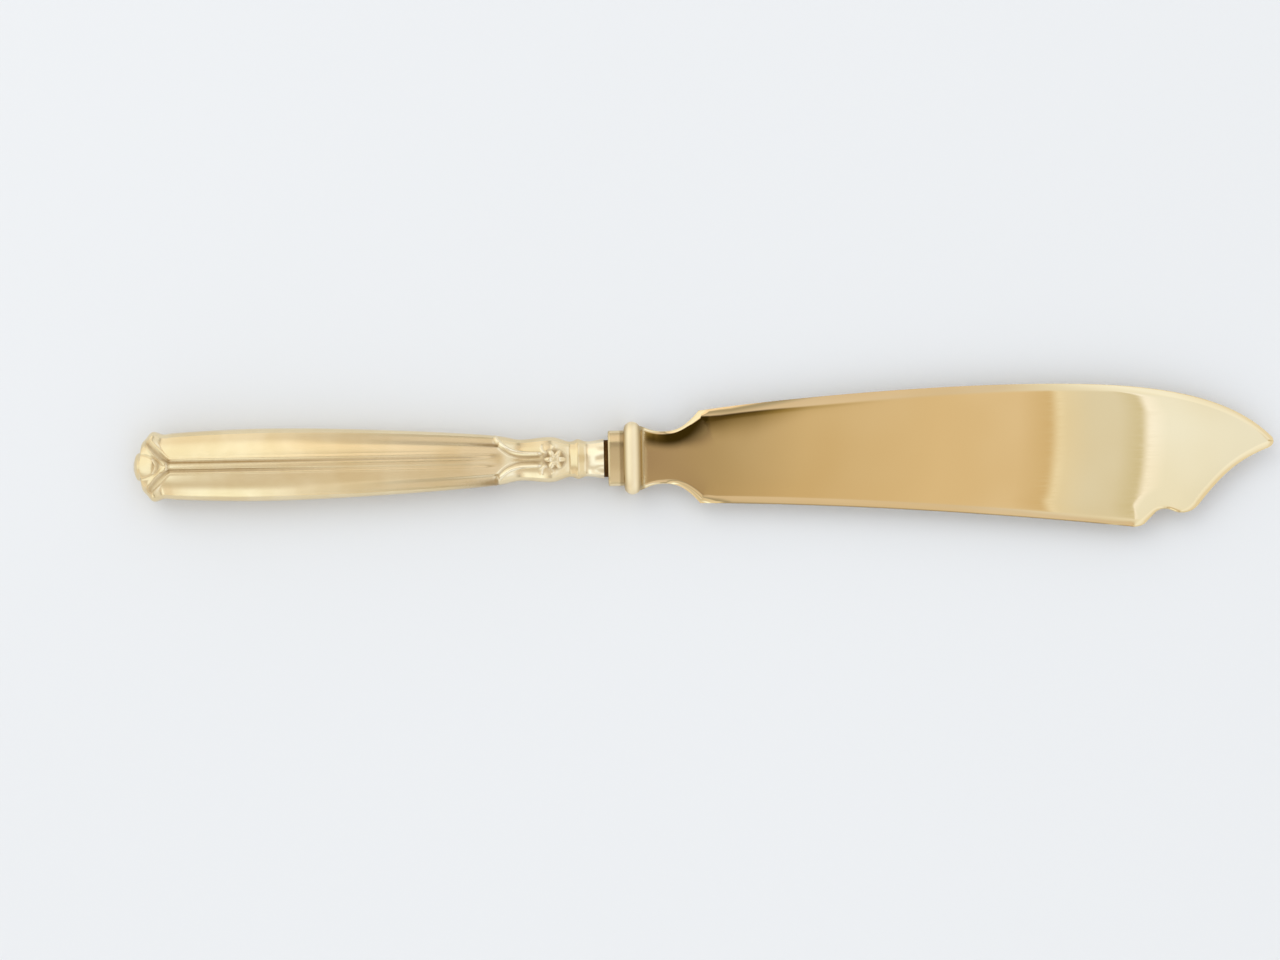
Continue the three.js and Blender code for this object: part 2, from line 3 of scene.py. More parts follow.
import bmesh
import bpy
import numpy as np
from mathutils.geometry import delaunay_2d_cdt
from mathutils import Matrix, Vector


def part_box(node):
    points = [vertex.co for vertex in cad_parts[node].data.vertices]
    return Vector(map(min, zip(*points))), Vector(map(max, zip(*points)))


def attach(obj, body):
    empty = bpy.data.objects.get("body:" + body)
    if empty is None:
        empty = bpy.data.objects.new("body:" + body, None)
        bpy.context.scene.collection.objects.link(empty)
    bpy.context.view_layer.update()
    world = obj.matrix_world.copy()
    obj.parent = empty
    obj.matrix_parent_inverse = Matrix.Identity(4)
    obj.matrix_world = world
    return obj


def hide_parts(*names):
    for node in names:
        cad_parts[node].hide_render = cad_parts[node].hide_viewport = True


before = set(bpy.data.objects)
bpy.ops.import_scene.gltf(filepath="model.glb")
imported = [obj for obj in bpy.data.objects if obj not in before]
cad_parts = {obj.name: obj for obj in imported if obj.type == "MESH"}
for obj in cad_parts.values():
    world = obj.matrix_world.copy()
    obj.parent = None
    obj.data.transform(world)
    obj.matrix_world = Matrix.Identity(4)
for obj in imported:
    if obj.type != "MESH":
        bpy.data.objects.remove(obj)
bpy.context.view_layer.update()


# The blade forging: blade, neck, bolster and tang in one piece of steel, gold plated and mirror polished.
# It is forged and ground flat, with its edges rolled over and bevelled by the polishing wheel.
# The tang is set in the cement of the handle, and the collar of the bolster closes the handle's mouth.

# Sizes are in millimetres from the middle of the handle's mouth: X to the tip, Y to the spine, Z up.
MM = 0.001
shell_low, shell_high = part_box("handle_front_shell")
seam_low, seam_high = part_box("handle_seam_solder")
MOUTH = np.array([shell_high.x, (shell_low.y + shell_high.y) / 2, (seam_low.z + seam_high.z) / 2])

# The bolster: a collar that closes the handle's mouth, a round bead, and a fillet that runs out on the blade.
MOUTH_JOINT = 1.0
COLLAR_LENGTH = 3.7
COLLAR_RADIUS = 6.6
COLLAR_CHAMFER = 0.4
BEAD_LENGTH = 4.0
BEAD_RISE = 2.0
BEAD_HALF_THICKNESS = 5.7
COLLAR_END = MOUTH_JOINT + COLLAR_LENGTH
BEAD_MIDDLE = COLLAR_END + BEAD_LENGTH / 2
BEAD_END = COLLAR_END + BEAD_LENGTH
BEAD_RADIUS = COLLAR_RADIUS + BEAD_RISE
FLATTENING = BEAD_HALF_THICKNESS / BEAD_RADIUS
BOLSTER_SECTION_POWER = 5.0
BOLSTER_TURN_STEPS = 192
NEVER_ZERO = 1e-12
WELD_DISTANCE = 1e-6
BEAD_STEPS = 25
CHAMFER_STEPS = 7
CORNER_ROW = 0.1
FILLET_LENGTH = 0.8
FILLET_HEIGHT = 0.9

# The blade: places along it, and its sides, heights and drops from the middle line.
BLADE_HALF_THICKNESS = 0.7
RIM_HALF_THICKNESS = 0.25
WAIST = BEAD_END + 5.5
HEEL = BEAD_END + 13.9
CREST = HEEL + 77.4
TIP = HEEL + 136.2
SWEEP = TIP - 18.2
BARB = SWEEP - 4.0
NOTCH = BARB - 4.0
EDGE_END = NOTCH - 7.4
ROOT_SIDE = COLLAR_RADIUS + BEAD_RISE / 2
NECK_SIDE = 6.2
HEEL_SIDE = 10.95
SPINE_HEIGHT = 15.85
SPINE_PULL = 24.0
TIP_HEIGHT = 0.9
TIP_ROUND = 1.4
SWEEP_DROP = 13.5
BARB_DROP = 15.3
NOTCH_DROP = 14.3
EDGE_DROP = 18.45

# The edges as the polishing wheel left them, at places along the blade: how far and how wide the flat rolls
# over, and how wide the bevels are. Below the middle line the roll is the same all along.
LOWER_ROLL_DROP = 0.03
LOWER_ROLL_WIDTH = 5.5
SPINE_ROLL_PLACES = [WAIST - 2, WAIST + 4, HEEL, HEEL + 5, HEEL + 11, HEEL + 24, CREST, TIP]
SPINE_ROLL_DROPS = (SPINE_ROLL_PLACES, [0.13, 0.15, 0.165, 0.15, 0.13, 0.07, 0.04, 0.03])
SPINE_ROLL_WIDTHS = (SPINE_ROLL_PLACES, [4.6, 5.2, 7.3, 9.0, 10.0, 5.5, 5.5, 5.5])
SPINE_BEVEL_PLACES = [WAIST, HEEL - 3, HEEL + 4, HEEL + 24, CREST, TIP]
SPINE_BEVEL_WIDTHS = (SPINE_BEVEL_PLACES, [0.75, 0.8, 3.0, 3.2, 2.3, 1.7])
EDGE_BEVEL_PLACES = [WAIST, HEEL, EDGE_END, NOTCH, BARB, SWEEP, TIP]
EDGE_BEVEL_WIDTHS = (EDGE_BEVEL_PLACES, [0.9, 1.8, 1.8, 0.6, 0.7, 1.6, 1.6])
SIDE_CHANGE = 2.0
HIDDEN_EDGE_STRETCH = 15

# Points in the plate: rows at distances from the edge, and finer patches by the notch and beside the bead.
EDGE_ROWS = [0.08, 0.17, 0.27, 0.38, 0.53, 0.7, 0.9, 1.15, 1.45, 1.8, 2.2, 2.65, 3.1, 3.6, 4.2, 4.8, 5.5]
EDGE_ROWS += [6.3, 7.2, 8.1, 9.0, 10.0]
FLAT_SPACING = 4.0
FLAT_MARGIN = EDGE_ROWS[-1] + 1
NOTCH_SPACING = 0.4
NOTCH_PATCH_LENGTH = (NOTCH - 8, SWEEP + 2)
NOTCH_PATCH_HEIGHT = (-19.0, -9.0)
NOTCH_MARGIN = 0.9
FILLET_ROWS = np.append(np.linspace(0, 1, 13), [1.1, 1.25, 1.5, 2, 3, 4])
FILLET_SPACING = 0.55
FILLET_MARGIN = 0.2
NECK_SLOPE = 0.45
MERGE_DISTANCE = 1e-5
SLIVER = 0.001
# The kind of result to ask of the triangulation: faces inside the outline only.
INSIDE_ONLY = 1

# The tang: flat, tapered, and notched down both sides so that the cement grips it.
TANG_END = -66.0
TANG_SIDE = 2.1
TANG_TAPER = 0.4
TANG_HALF_THICKNESS = 1.3
TANG_NOTCHES = 3
TANG_NOTCH_RADIUS = 0.5
TANG_NOTCH_STEPS = 9

GOLD = (0.84, 0.69, 0.42, 1)
DEEP_GOLD = (0.79, 0.62, 0.34, 1)
# A paler gold on the bead: a painted highlight.
BEAD_HIGHLIGHT_GOLD = (0.96, 0.83, 0.57, 1)
# The dark colour of the painted shade in the corners beside the bead and at the edge of the collar.
CORNER_SHADE = (0.50, 0.38, 0.20, 1)
MIRROR_ROUGHNESS = 0.012
POLISH_LINE_ROUGHNESS = 0.02
COLLAR_ROUGHNESS = 0.15
BESIDE_BEAD_ROUGHNESS = 0.16
BEAD_ROUGHNESS = 0.42
BEAD_HIGHLIGHT_PALENESS = 0.6
COLLAR_EDGE_SHADE = 0.7


def between(a, b, share):
    """The value that lies a share of the way from a to b."""
    return a + (b - a) * share


def drawn(start, *stretches, steps=26):
    """A line of points through Bezier stretches. Each stretch lists its control points after its start."""
    line = [np.array(start, float)]
    for controls in stretches:
        spots = [line[-1], *[np.array(c, float) for c in controls]]
        for share in np.linspace(0, 1, steps)[1:]:
            level = spots
            while len(level) > 1:
                level = [between(a, b, share) for a, b in zip(level, level[1:])]
            line.append(level[0])
    return np.array(line)


blade_outline = drawn(
    (BEAD_MIDDLE, ROOT_SIDE),
    [(BEAD_END, ROOT_SIDE)],
    [
        (between(BEAD_END, WAIST, 0.35), between(ROOT_SIDE, NECK_SIDE, 0.6)),
        (between(BEAD_END, WAIST, 0.6), NECK_SIDE),
        (WAIST, NECK_SIDE),
    ],
    [
        (between(WAIST, HEEL, 0.4), NECK_SIDE),
        (between(WAIST, HEEL, 0.65), between(NECK_SIDE, HEEL_SIDE, 0.28)),
        (HEEL, HEEL_SIDE),
    ],
    [
        (between(HEEL, CREST, 0.25), between(HEEL_SIDE, SPINE_HEIGHT, 0.52)),
        (CREST - SPINE_PULL, SPINE_HEIGHT),
        (CREST, SPINE_HEIGHT),
    ],
    [
        (CREST + SPINE_PULL, SPINE_HEIGHT),
        (between(CREST, TIP, 0.79), between(SPINE_HEIGHT, TIP_HEIGHT, 0.09)),
        (TIP - TIP_ROUND / 3, TIP_HEIGHT + TIP_ROUND),
    ],
    [
        (TIP + TIP_ROUND / 3, TIP_HEIGHT - TIP_ROUND / 5),
        (TIP - TIP_ROUND, TIP_HEIGHT - TIP_ROUND * 0.82),
    ],
    [
        (between(TIP, SWEEP, 0.46), -SWEEP_DROP * 0.22),
        (between(TIP, SWEEP, 0.66), -SWEEP_DROP * 0.43),
        (SWEEP, -SWEEP_DROP),
    ],
    [(between(SWEEP, BARB, 0.4), -BARB_DROP), (BARB, -BARB_DROP)],
    [
        (between(BARB, NOTCH, 0.45), -BARB_DROP),
        (between(BARB, NOTCH, 0.6), -NOTCH_DROP),
        (NOTCH, -NOTCH_DROP),
    ],
    [
        (between(NOTCH, EDGE_END, 0.2), -NOTCH_DROP),
        (between(NOTCH, EDGE_END, 0.33), -between(NOTCH_DROP, EDGE_DROP, 0.25)),
    ],
    [(between(NOTCH, EDGE_END, 0.62), -between(NOTCH_DROP, EDGE_DROP, 0.78))],
    [(between(NOTCH, EDGE_END, 0.77), -EDGE_DROP), (EDGE_END, -EDGE_DROP)],
    [(between(EDGE_END, HEEL, 0.54), -between(EDGE_DROP, HEEL_SIDE, 0.845)), (HEEL, -HEEL_SIDE)],
    [
        (between(WAIST, HEEL, 0.65), -between(NECK_SIDE, HEEL_SIDE, 0.28)),
        (between(WAIST, HEEL, 0.4), -NECK_SIDE),
        (WAIST, -NECK_SIDE),
    ],
    [
        (between(BEAD_END, WAIST, 0.6), -NECK_SIDE),
        (between(BEAD_END, WAIST, 0.35), -between(ROOT_SIDE, NECK_SIDE, 0.6)),
        (BEAD_END, -ROOT_SIDE),
    ],
    [(BEAD_MIDDLE, -ROOT_SIDE)],
)


def edge_distance(points, outline):
    """How far each point lies from the nearest side of a closed outline."""
    start, along = outline, np.roll(outline, -1, 0) - outline
    reach = points[:, None, :] - start[None, :, :]
    share = np.clip((reach * along).sum(2) / (along**2).sum(1), 0, 1)
    return np.linalg.norm(reach - share[:, :, None] * along, axis=2).min(1)


def inset(outline, distance):
    """A clockwise outline moved inwards. Points that come too near another side are left out."""
    ahead = np.roll(outline, -1, 0) - outline
    ahead /= np.linalg.norm(ahead, axis=1)[:, None]
    normal = np.stack([ahead[:, 1], -ahead[:, 0]], 1)
    before = np.roll(normal, 1, 0)
    mitre = (normal + before) / (1 + (normal * before).sum(1))[:, None]
    moved = outline + distance * mitre
    return moved[edge_distance(moved, outline) > distance * 0.98]


def placed(name, data):
    """A new object in the scene."""
    made = bpy.data.objects.new(name, data)
    bpy.context.scene.collection.objects.link(made)
    return made


def piece_of(name, vertices, faces):
    """A mesh object from points in millimetres, with its faces turned outwards."""
    mesh = bpy.data.meshes.new(name)
    mesh.from_pydata([tuple(point) for point in MOUTH + MM * np.asarray(vertices)], [], faces)
    shape = bmesh.new()
    shape.from_mesh(mesh)
    bmesh.ops.recalc_face_normals(shape, faces=shape.faces)
    shape.to_mesh(mesh)
    shape.free()
    return placed(name, mesh)


def lofted(name, rings):
    """A closed skin through rings of equal count, with a flat face at each end."""
    count = len(rings[0])
    faces = [tuple(range(count)), tuple(range(count * (len(rings) - 1), count * len(rings)))]
    for row in range(len(rings) - 1):
        for k in range(count):
            a, b = row * count + k, row * count + (k + 1) % count
            faces.append((a, b, b + count, a + count))
    return piece_of(name, np.concatenate(rings), faces)


def plain(piece, *tools):
    """The piece with its modifiers turned into a plain mesh. The tools that shaped it are removed."""
    depsgraph = bpy.context.evaluated_depsgraph_get()
    made = bpy.data.meshes.new_from_object(
        piece.evaluated_get(depsgraph), preserve_all_data_layers=True, depsgraph=depsgraph
    )
    piece.modifiers.clear()
    if piece.type == "MESH":
        piece.data = made
    else:
        name = piece.name
        bpy.data.objects.remove(piece)
        piece = placed(name, made)
    for tool in tools:
        bpy.data.objects.remove(tool)
    return piece


def cut_or_joined(piece, operation, *tools):
    """The piece after exact booleans with the tools, one after another, with no slivers left."""
    for tool in tools:
        step = piece.modifiers.new(tool.name, "BOOLEAN")
        step.operation = operation
        step.solver = "EXACT"
        step.object = tool
    piece = plain(piece, *tools)
    shape = bmesh.new()
    shape.from_mesh(piece.data)
    bmesh.ops.dissolve_degenerate(shape, dist=SLIVER * MM, edges=shape.edges)
    shape.to_mesh(piece.data)
    shape.free()
    return piece


class Socket:
    """An output in a node tree. Arithmetic on it adds Math nodes, and node adds any other."""

    def __init__(self, tree, link=None):
        self.tree = tree
        self.link = link

    def node(self, kind, settings=None, values=None, output=0):
        made = self.tree.nodes.new(kind)
        for name, setting in (settings or {}).items():
            if name == "stops":
                stops = made.color_ramp.elements
                while len(stops) < len(setting):
                    stops.new(1)
                for stop, (place, colour) in zip(stops, setting):
                    stop.position = place
                    stop.color = colour
            else:
                setattr(made, name, setting)
        for name, value in (values or {}).items():
            if isinstance(value, Socket):
                self.tree.links.new(value.link, made.inputs[name])
            else:
                made.inputs[name].default_value = value
        return Socket(self.tree, made.outputs[output] if made.outputs else None)

    def math(self, operation, *others):
        return self.node("ShaderNodeMath", {"operation": operation}, dict(enumerate((self, *others))))

    def __add__(self, other):
        return self.math("ADD", other)

    __radd__ = __add__

    def __sub__(self, other):
        return self.math("SUBTRACT", other)

    def __neg__(self):
        return self.math("MULTIPLY", -1)

    def __rsub__(self, other):
        return -self + other

    def __mul__(self, other):
        return self.math("MULTIPLY", other)

    __rmul__ = __mul__

    def __truediv__(self, other):
        return self.math("DIVIDE", other)

    def __rtruediv__(self, other):
        return self.math("POWER", -1) * other

    def __pow__(self, other):
        return self.math("POWER", other)

    def at_least(self, low):
        return self.math("MAXIMUM", low)

    def at_most(self, high):
        return self.math("MINIMUM", high)

    def parts(self):
        """The X, Y and Z of a vector."""
        split = self.node("ShaderNodeSeparateXYZ", values={"Vector": self})
        return [Socket(self.tree, part) for part in split.link.node.outputs]

    def noise(self, scale, detail):
        """Cloudy noise over a place."""
        return self.node("ShaderNodeTexNoise", values={"Vector": self, "Scale": scale, "Detail": detail})

    def bump(self, distance, strength=1, **others):
        """A normal that follows this as a height."""
        values = {"Height": self, "Distance": distance, "Strength": strength, **others}
        return self.node("ShaderNodeBump", values=values)

    def coat(self, values):
        """Ends a material in one surface with these values."""
        surface = self.node("ShaderNodeBsdfPrincipled", values=values)
        self.node("ShaderNodeOutputMaterial", values={"Surface": surface})

    def rise(self, low, high):
        """0 at low and 1 at high, eased at both ends."""
        settings = {"interpolation_type": "SMOOTHSTEP"}
        return self.node("ShaderNodeMapRange", settings, {"Value": self, "From Min": low, "From Max": high})

    def blend(self, colour, other):
        """One colour where this is 0 and the other where it is 1."""
        return self.node("ShaderNodeMix", {"data_type": "RGBA"}, {0: self, 6: colour, 7: other}, output=2)


def new_finish(name):
    """A material with an empty tree, and the place of a point as a socket to build its nodes from."""
    finish = bpy.data.materials.new(name)
    finish.use_nodes = True
    finish.node_tree.nodes.clear()
    return finish, Socket(finish.node_tree).node("ShaderNodeTexCoord", output="Object")


def new_shape(name, *sizes):
    """A geometry tree with a named input for each size, and those inputs as sockets by name."""
    tree = bpy.data.node_groups.new(name, "GeometryNodeTree")
    tree.interface.new_socket("Geometry", in_out="INPUT", socket_type="NodeSocketGeometry")
    tree.interface.new_socket("Geometry", in_out="OUTPUT", socket_type="NodeSocketGeometry")
    for size in sizes:
        tree.interface.new_socket(size, in_out="INPUT", socket_type="NodeSocketFloat")
    entry = tree.nodes.new("NodeGroupInput")
    return tree, {link.name: Socket(tree, link) for link in entry.outputs if link.name}


def end_shape(geometry, finish):
    """Ends a geometry tree, with its instances made real and the finish on it."""
    whole = geometry.node("GeometryNodeRealizeInstances", values={"Geometry": geometry})
    coated = whole.node("GeometryNodeSetMaterial", values={"Geometry": whole, "Material": finish})
    coated.node("NodeGroupOutput", values={"Geometry": coated})


def shaped(piece, tree, sizes):
    """The plain mesh that a geometry tree makes of a piece at the given sizes."""
    step = piece.modifiers.new(tree.name, "NODES")
    step.node_group = tree
    for item in tree.interface.items_tree:
        if item.name in sizes:
            step[item.identifier] = float(sizes[item.name])
    return plain(piece)


def smoothed(piece, finish, sharp_angle):
    """Smooth shading, with creases at the edges that are sharper than the angle."""
    piece.data.shade_smooth()
    piece.data.set_sharp_from_angle(angle=math.radians(sharp_angle))
    piece.data.materials.clear()
    piece.data.materials.append(finish)


# The gilt steel: a mirror with faint lengthwise polishing lines, duller on the bolster. A painted highlight
# makes the bead paler, and painted shade darkens the corners beside the bead and the edge of the collar.
gilt_steel, place = new_finish("gilt_steel")
lengthwise = place.node("ShaderNodeMapping", values={"Vector": place, "Scale": (1, 25, 25)})
polish = lengthwise.noise(scale=160, detail=4)
clouds = place.noise(scale=28, detail=2)
steel_colour = clouds.rise(0.3, 0.7).blend(GOLD, DEEP_GOLD)
along_blade = (place.parts()[0] - MOUTH[0]) / MM
on_collar = 1 - along_blade.rise(COLLAR_END - 0.2, COLLAR_END)
collar_edge = 1 - along_blade.rise(MOUTH_JOINT + 0.1, MOUTH_JOINT + COLLAR_CHAMFER + 0.2)
from_bead = (along_blade - BEAD_MIDDLE).math("ABSOLUTE") * 2 / BEAD_LENGTH
on_bead = 1 - from_bead.rise(0.8, 1.1)
# Painted shade in the creases on both sides of the bead.
bead_crease_shade = from_bead.rise(0.35, 1) * (1 - from_bead.rise(1.3, 1.6))
beside_bead = along_blade.rise(BEAD_MIDDLE, BEAD_END)
beside_bead = beside_bead * (1 - along_blade.rise(BEAD_END + 0.2, BEAD_END + 2.2))
steel_roughness = MIRROR_ROUGHNESS + POLISH_LINE_ROUGHNESS * polish.rise(0.35, 0.75)
steel_roughness = steel_roughness + COLLAR_ROUGHNESS * on_collar + BEAD_ROUGHNESS * on_bead
steel_roughness = steel_roughness + BESIDE_BEAD_ROUGHNESS * beside_bead
# The bead is made paler: a painted highlight.
steel_colour = (BEAD_HIGHLIGHT_PALENESS * on_bead).blend(steel_colour, BEAD_HIGHLIGHT_GOLD)
# Painted shade darkens the creases beside the bead and the collar's edge by the mouth.
steel_colour = (bead_crease_shade + COLLAR_EDGE_SHADE * collar_edge).blend(steel_colour, CORNER_SHADE)
ripple = clouds.bump(distance=0.000004)
fine_lines = polish.bump(distance=0.00000002, Normal=ripple)
place.coat({"Base Color": steel_colour, "Metallic": 1, "Roughness": steel_roughness, "Normal": fine_lines})


def grid_of(x_places, y_places):
    """A point at each crossing of two rows of places."""
    return np.array([(x, y) for x in x_places for y in y_places])


# The plate of the blade: rows of points at set distances from the edge carry the bevel and the rolled edge,
# and rows across the neck carry the fillet that the grinding wheel leaves beside the bead.
rows = [inset(blade_outline, distance) for distance in EDGE_ROWS]
flat_heights = np.arange(-EDGE_DROP, SPINE_HEIGHT, FLAT_SPACING)
flat_points = grid_of(np.arange(BEAD_END, TIP, FLAT_SPACING), flat_heights)
flat_points = flat_points[edge_distance(flat_points, blade_outline) > FLAT_MARGIN]
notch_heights = np.arange(*NOTCH_PATCH_HEIGHT, NOTCH_SPACING)
notch_points = grid_of(np.arange(*NOTCH_PATCH_LENGTH, NOTCH_SPACING), notch_heights)
notch_points = notch_points[edge_distance(notch_points, blade_outline) > NOTCH_MARGIN]
fillet_heights = np.arange(-ROOT_SIDE, ROOT_SIDE, FILLET_SPACING)
fillet_points = grid_of(BEAD_END + FILLET_LENGTH * FILLET_ROWS, fillet_heights)
neck_side = ROOT_SIDE - FILLET_MARGIN - NECK_SLOPE * (fillet_points[:, 0] - BEAD_END)
within = edge_distance(fillet_points, blade_outline) > FILLET_MARGIN
within &= np.abs(fillet_points[:, 1]) < neck_side
plan, _, plate_faces, *_ = delaunay_2d_cdt(
    np.concatenate([blade_outline, *rows, flat_points, notch_points, fillet_points[within]]).tolist(),
    [],
    [list(range(len(blade_outline)))],
    INSIDE_ONLY,
    MERGE_DISTANCE,
)
plan = np.array([tuple(point) for point in plan])
kept = sorted({k for face in plate_faces for k in face})
renumbered = {k: n for n, k in enumerate(kept)}
plan = plan[kept]
plate_faces = [tuple(renumbered[k] for k in face) for face in plate_faces]

# The edge that the bolster hides has no bevel, so there the outline is drawn well out of the way.
free_edge = blade_outline.copy()
in_bolster = free_edge[:, 0] < BEAD_END
free_edge[in_bolster, 0] = BEAD_END - HIDDEN_EDGE_STRETCH * (BEAD_END - free_edge[in_bolster, 0])

# Half the thickness at each point: rolled over and bevelled towards the edge, and filled beside the bead.
from_edge = edge_distance(plan, free_edge)
spine_side = np.clip(plan[:, 1] / SIDE_CHANGE + 0.5, 0, 1)
roll_drop = between(LOWER_ROLL_DROP, np.interp(plan[:, 0], *SPINE_ROLL_DROPS), spine_side)
roll_width = between(LOWER_ROLL_WIDTH, np.interp(plan[:, 0], *SPINE_ROLL_WIDTHS), spine_side)
rolled = roll_drop * np.clip(1 - from_edge / roll_width, 0, 1) ** 2
spine_bevel = np.interp(plan[:, 0], *SPINE_BEVEL_WIDTHS)
bevel_width = between(np.interp(plan[:, 0], *EDGE_BEVEL_WIDTHS), spine_bevel, spine_side)
bevel_drop = BLADE_HALF_THICKNESS - roll_drop - RIM_HALF_THICKNESS
bevelled = bevel_drop * np.clip(1 - from_edge / bevel_width, 0, 1) ** 3
past_bead = np.clip((plan[:, 0] - BEAD_END) / FILLET_LENGTH, 0, 1)
filled = FILLET_HEIGHT * (1 - past_bead) ** 2 * np.clip(from_edge / bevel_width, 0, 1)
height = BLADE_HALF_THICKNESS - rolled - bevelled + filled
upper = np.column_stack([plan, height])
lower = np.column_stack([plan, -height])
count = len(plan)
around = [renumbered[k] for k in range(len(blade_outline))]
rim_faces = [(a, b, b + count, a + count) for a, b in zip(around, around[1:] + around[:1])]
under_faces = [tuple(k + count for k in reversed(face)) for face in plate_faces]
blade = piece_of("blade_forging", np.concatenate([upper, lower]), plate_faces + under_faces + rim_faces)

# The bolster: a turned profile, measured outwards from the collar, that is swept round and then flattened
# to a squarish oval.
bead_turn = np.linspace(-math.pi / 2, math.pi / 2, BEAD_STEPS)
bolster_profile = [
    (-COLLAR_RADIUS, MOUTH_JOINT),
    (-COLLAR_CHAMFER, MOUTH_JOINT),
    *[
        (COLLAR_CHAMFER * (math.sin(turn) - 1), MOUTH_JOINT + COLLAR_CHAMFER * (1 - math.cos(turn)))
        for turn in np.linspace(0, math.pi / 2, CHAMFER_STEPS)[1:]
    ],
    (0, MOUTH_JOINT + COLLAR_CHAMFER + CORNER_ROW),
    (0, COLLAR_END - CORNER_ROW),
    *[
        (BEAD_RISE * math.cos(turn), BEAD_MIDDLE + BEAD_LENGTH / 2 * math.sin(turn))
        for turn in bead_turn
    ],
    (-COLLAR_RADIUS, BEAD_END),
]
profile_curve = bpy.data.curves.new("bolster_profile", "CURVE")
profile_curve.dimensions = "3D"
profile_line = profile_curve.splines.new("POLY")
profile_line.points.add(len(bolster_profile) - 1)
for spot, (out, along) in zip(profile_line.points, bolster_profile):
    spot.co = (MM * out, MM * along, 0, 1)
bolster = placed("bolster", profile_curve)

turned, sizes = new_shape("turned_bolster", "Collar radius", "Flattening", "Section power", "Turn steps")
track = sizes["Geometry"].node(
    "GeometryNodeCurvePrimitiveCircle",
    values={"Radius": sizes["Collar radius"], "Resolution": sizes["Turn steps"]},
)
swept = track.node("GeometryNodeCurveToMesh", values={"Curve": track, "Profile Curve": sizes["Geometry"]})
up, aside, ahead = track.node("GeometryNodeInputPosition").parts()
radius = (up * up + aside * aside + NEVER_ZERO).math("SQRT")


def squared(part):
    """The part of the radius that this part of a circle has on a squarish oval."""
    share = (part / radius).math("ABSOLUTE") ** (2 / sizes["Section power"])
    return radius * share * part.math("SIGN")


squarish = track.node(
    "ShaderNodeCombineXYZ", values={"X": squared(up) * sizes["Flattening"], "Y": squared(aside), "Z": ahead}
)
oval_bolster = track.node("GeometryNodeSetPosition", values={"Geometry": swept, "Position": squarish})
laid = track.node(
    "GeometryNodeTransform",
    values={"Geometry": oval_bolster, "Rotation": (0, -math.pi / 2, 0), "Translation": tuple(MOUTH)},
)
closed = track.node("GeometryNodeMergeByDistance", values={"Geometry": laid, "Distance": WELD_DISTANCE})
end_shape(closed, gilt_steel)
bolster = shaped(
    bolster,
    turned,
    {
        "Collar radius": MM * COLLAR_RADIUS,
        "Flattening": FLATTENING,
        "Section power": BOLSTER_SECTION_POWER,
        "Turn steps": BOLSTER_TURN_STEPS,
    },
)


def tang_solid(name, clearance):
    """The tapered tang, notched down both sides, or with a clearance the socket round it."""
    notch_radius = TANG_NOTCH_RADIUS - clearance / 2
    end = TANG_END - clearance
    one_side = [(MOUTH_JOINT + COLLAR_LENGTH / 2, TANG_SIDE + clearance)]
    for k in range(TANG_NOTCHES):
        notch = TANG_END * (k + 1) / (TANG_NOTCHES + 1)
        side = TANG_SIDE - TANG_TAPER * notch / TANG_END + clearance
        for turn in np.linspace(0, math.pi, TANG_NOTCH_STEPS):
            one_side.append((notch + notch_radius * math.cos(turn), side - notch_radius * math.sin(turn)))
    one_side.append((end, TANG_SIDE - TANG_TAPER + clearance))
    outline = one_side + [(x, -y) for x, y in reversed(one_side)]
    thick = TANG_HALF_THICKNESS + clearance
    return lofted(name, np.array([[(x, y, z) for x, y in outline] for z in (-thick, thick)]))


blade = cut_or_joined(blade, "UNION", bolster, tang_solid("tang", 0))
smoothed(blade, gilt_steel, sharp_angle=32)
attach(blade, "root")
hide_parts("blade")


# The filling: dark resin cement poured into the handle, with the tang pressed in while it was hot.
# It grips the notches of the tang, and squeezes out as a thin lip between the mouth and the collar.

# Stations down the handle from the mouth to the butt: place, half width and half thickness.
HANDLE_LENGTH = 111.2
STATIONS = np.array(
    [
        (0.0, 4.7, 3.9),
        (-4.3, 4.2, 3.4),
        (-6.1, 4.75, 3.95),
        (-7.9, 4.2, 3.4),
        (-12.2, 5.35, 4.35),
        (-19.9, 4.9, 4.0),
        (-24.8, 5.8, 4.4),
        (-53.15, 7.8, 5.2),
        (-81.5, 8.6, 5.5),
        (-101.5, 7.9, 5.05),
        (-104.2, 7.65, 4.8),
        (-106.7, 8.25, 4.85),
        (-108.2, 6.75, 4.45),
        (-109.1, 5.7, 4.1),
        (-109.6, 3.65, 3.8),
        (-110.5, 3.0, 3.0),
        (-HANDLE_LENGTH, 1.2, 1.4),
    ]
)
HOLLOW_STATIONS = 13
SECTION_POWER = 2.8
SHEET = 0.6
FIT_GAP = 0.3
CEMENT_ROWS = 3
CEMENT_COLUMNS = 48
CEMENT = (0.07, 0.030, 0.005, 1)
CEMENT_DUST = (0.13, 0.065, 0.015, 1)


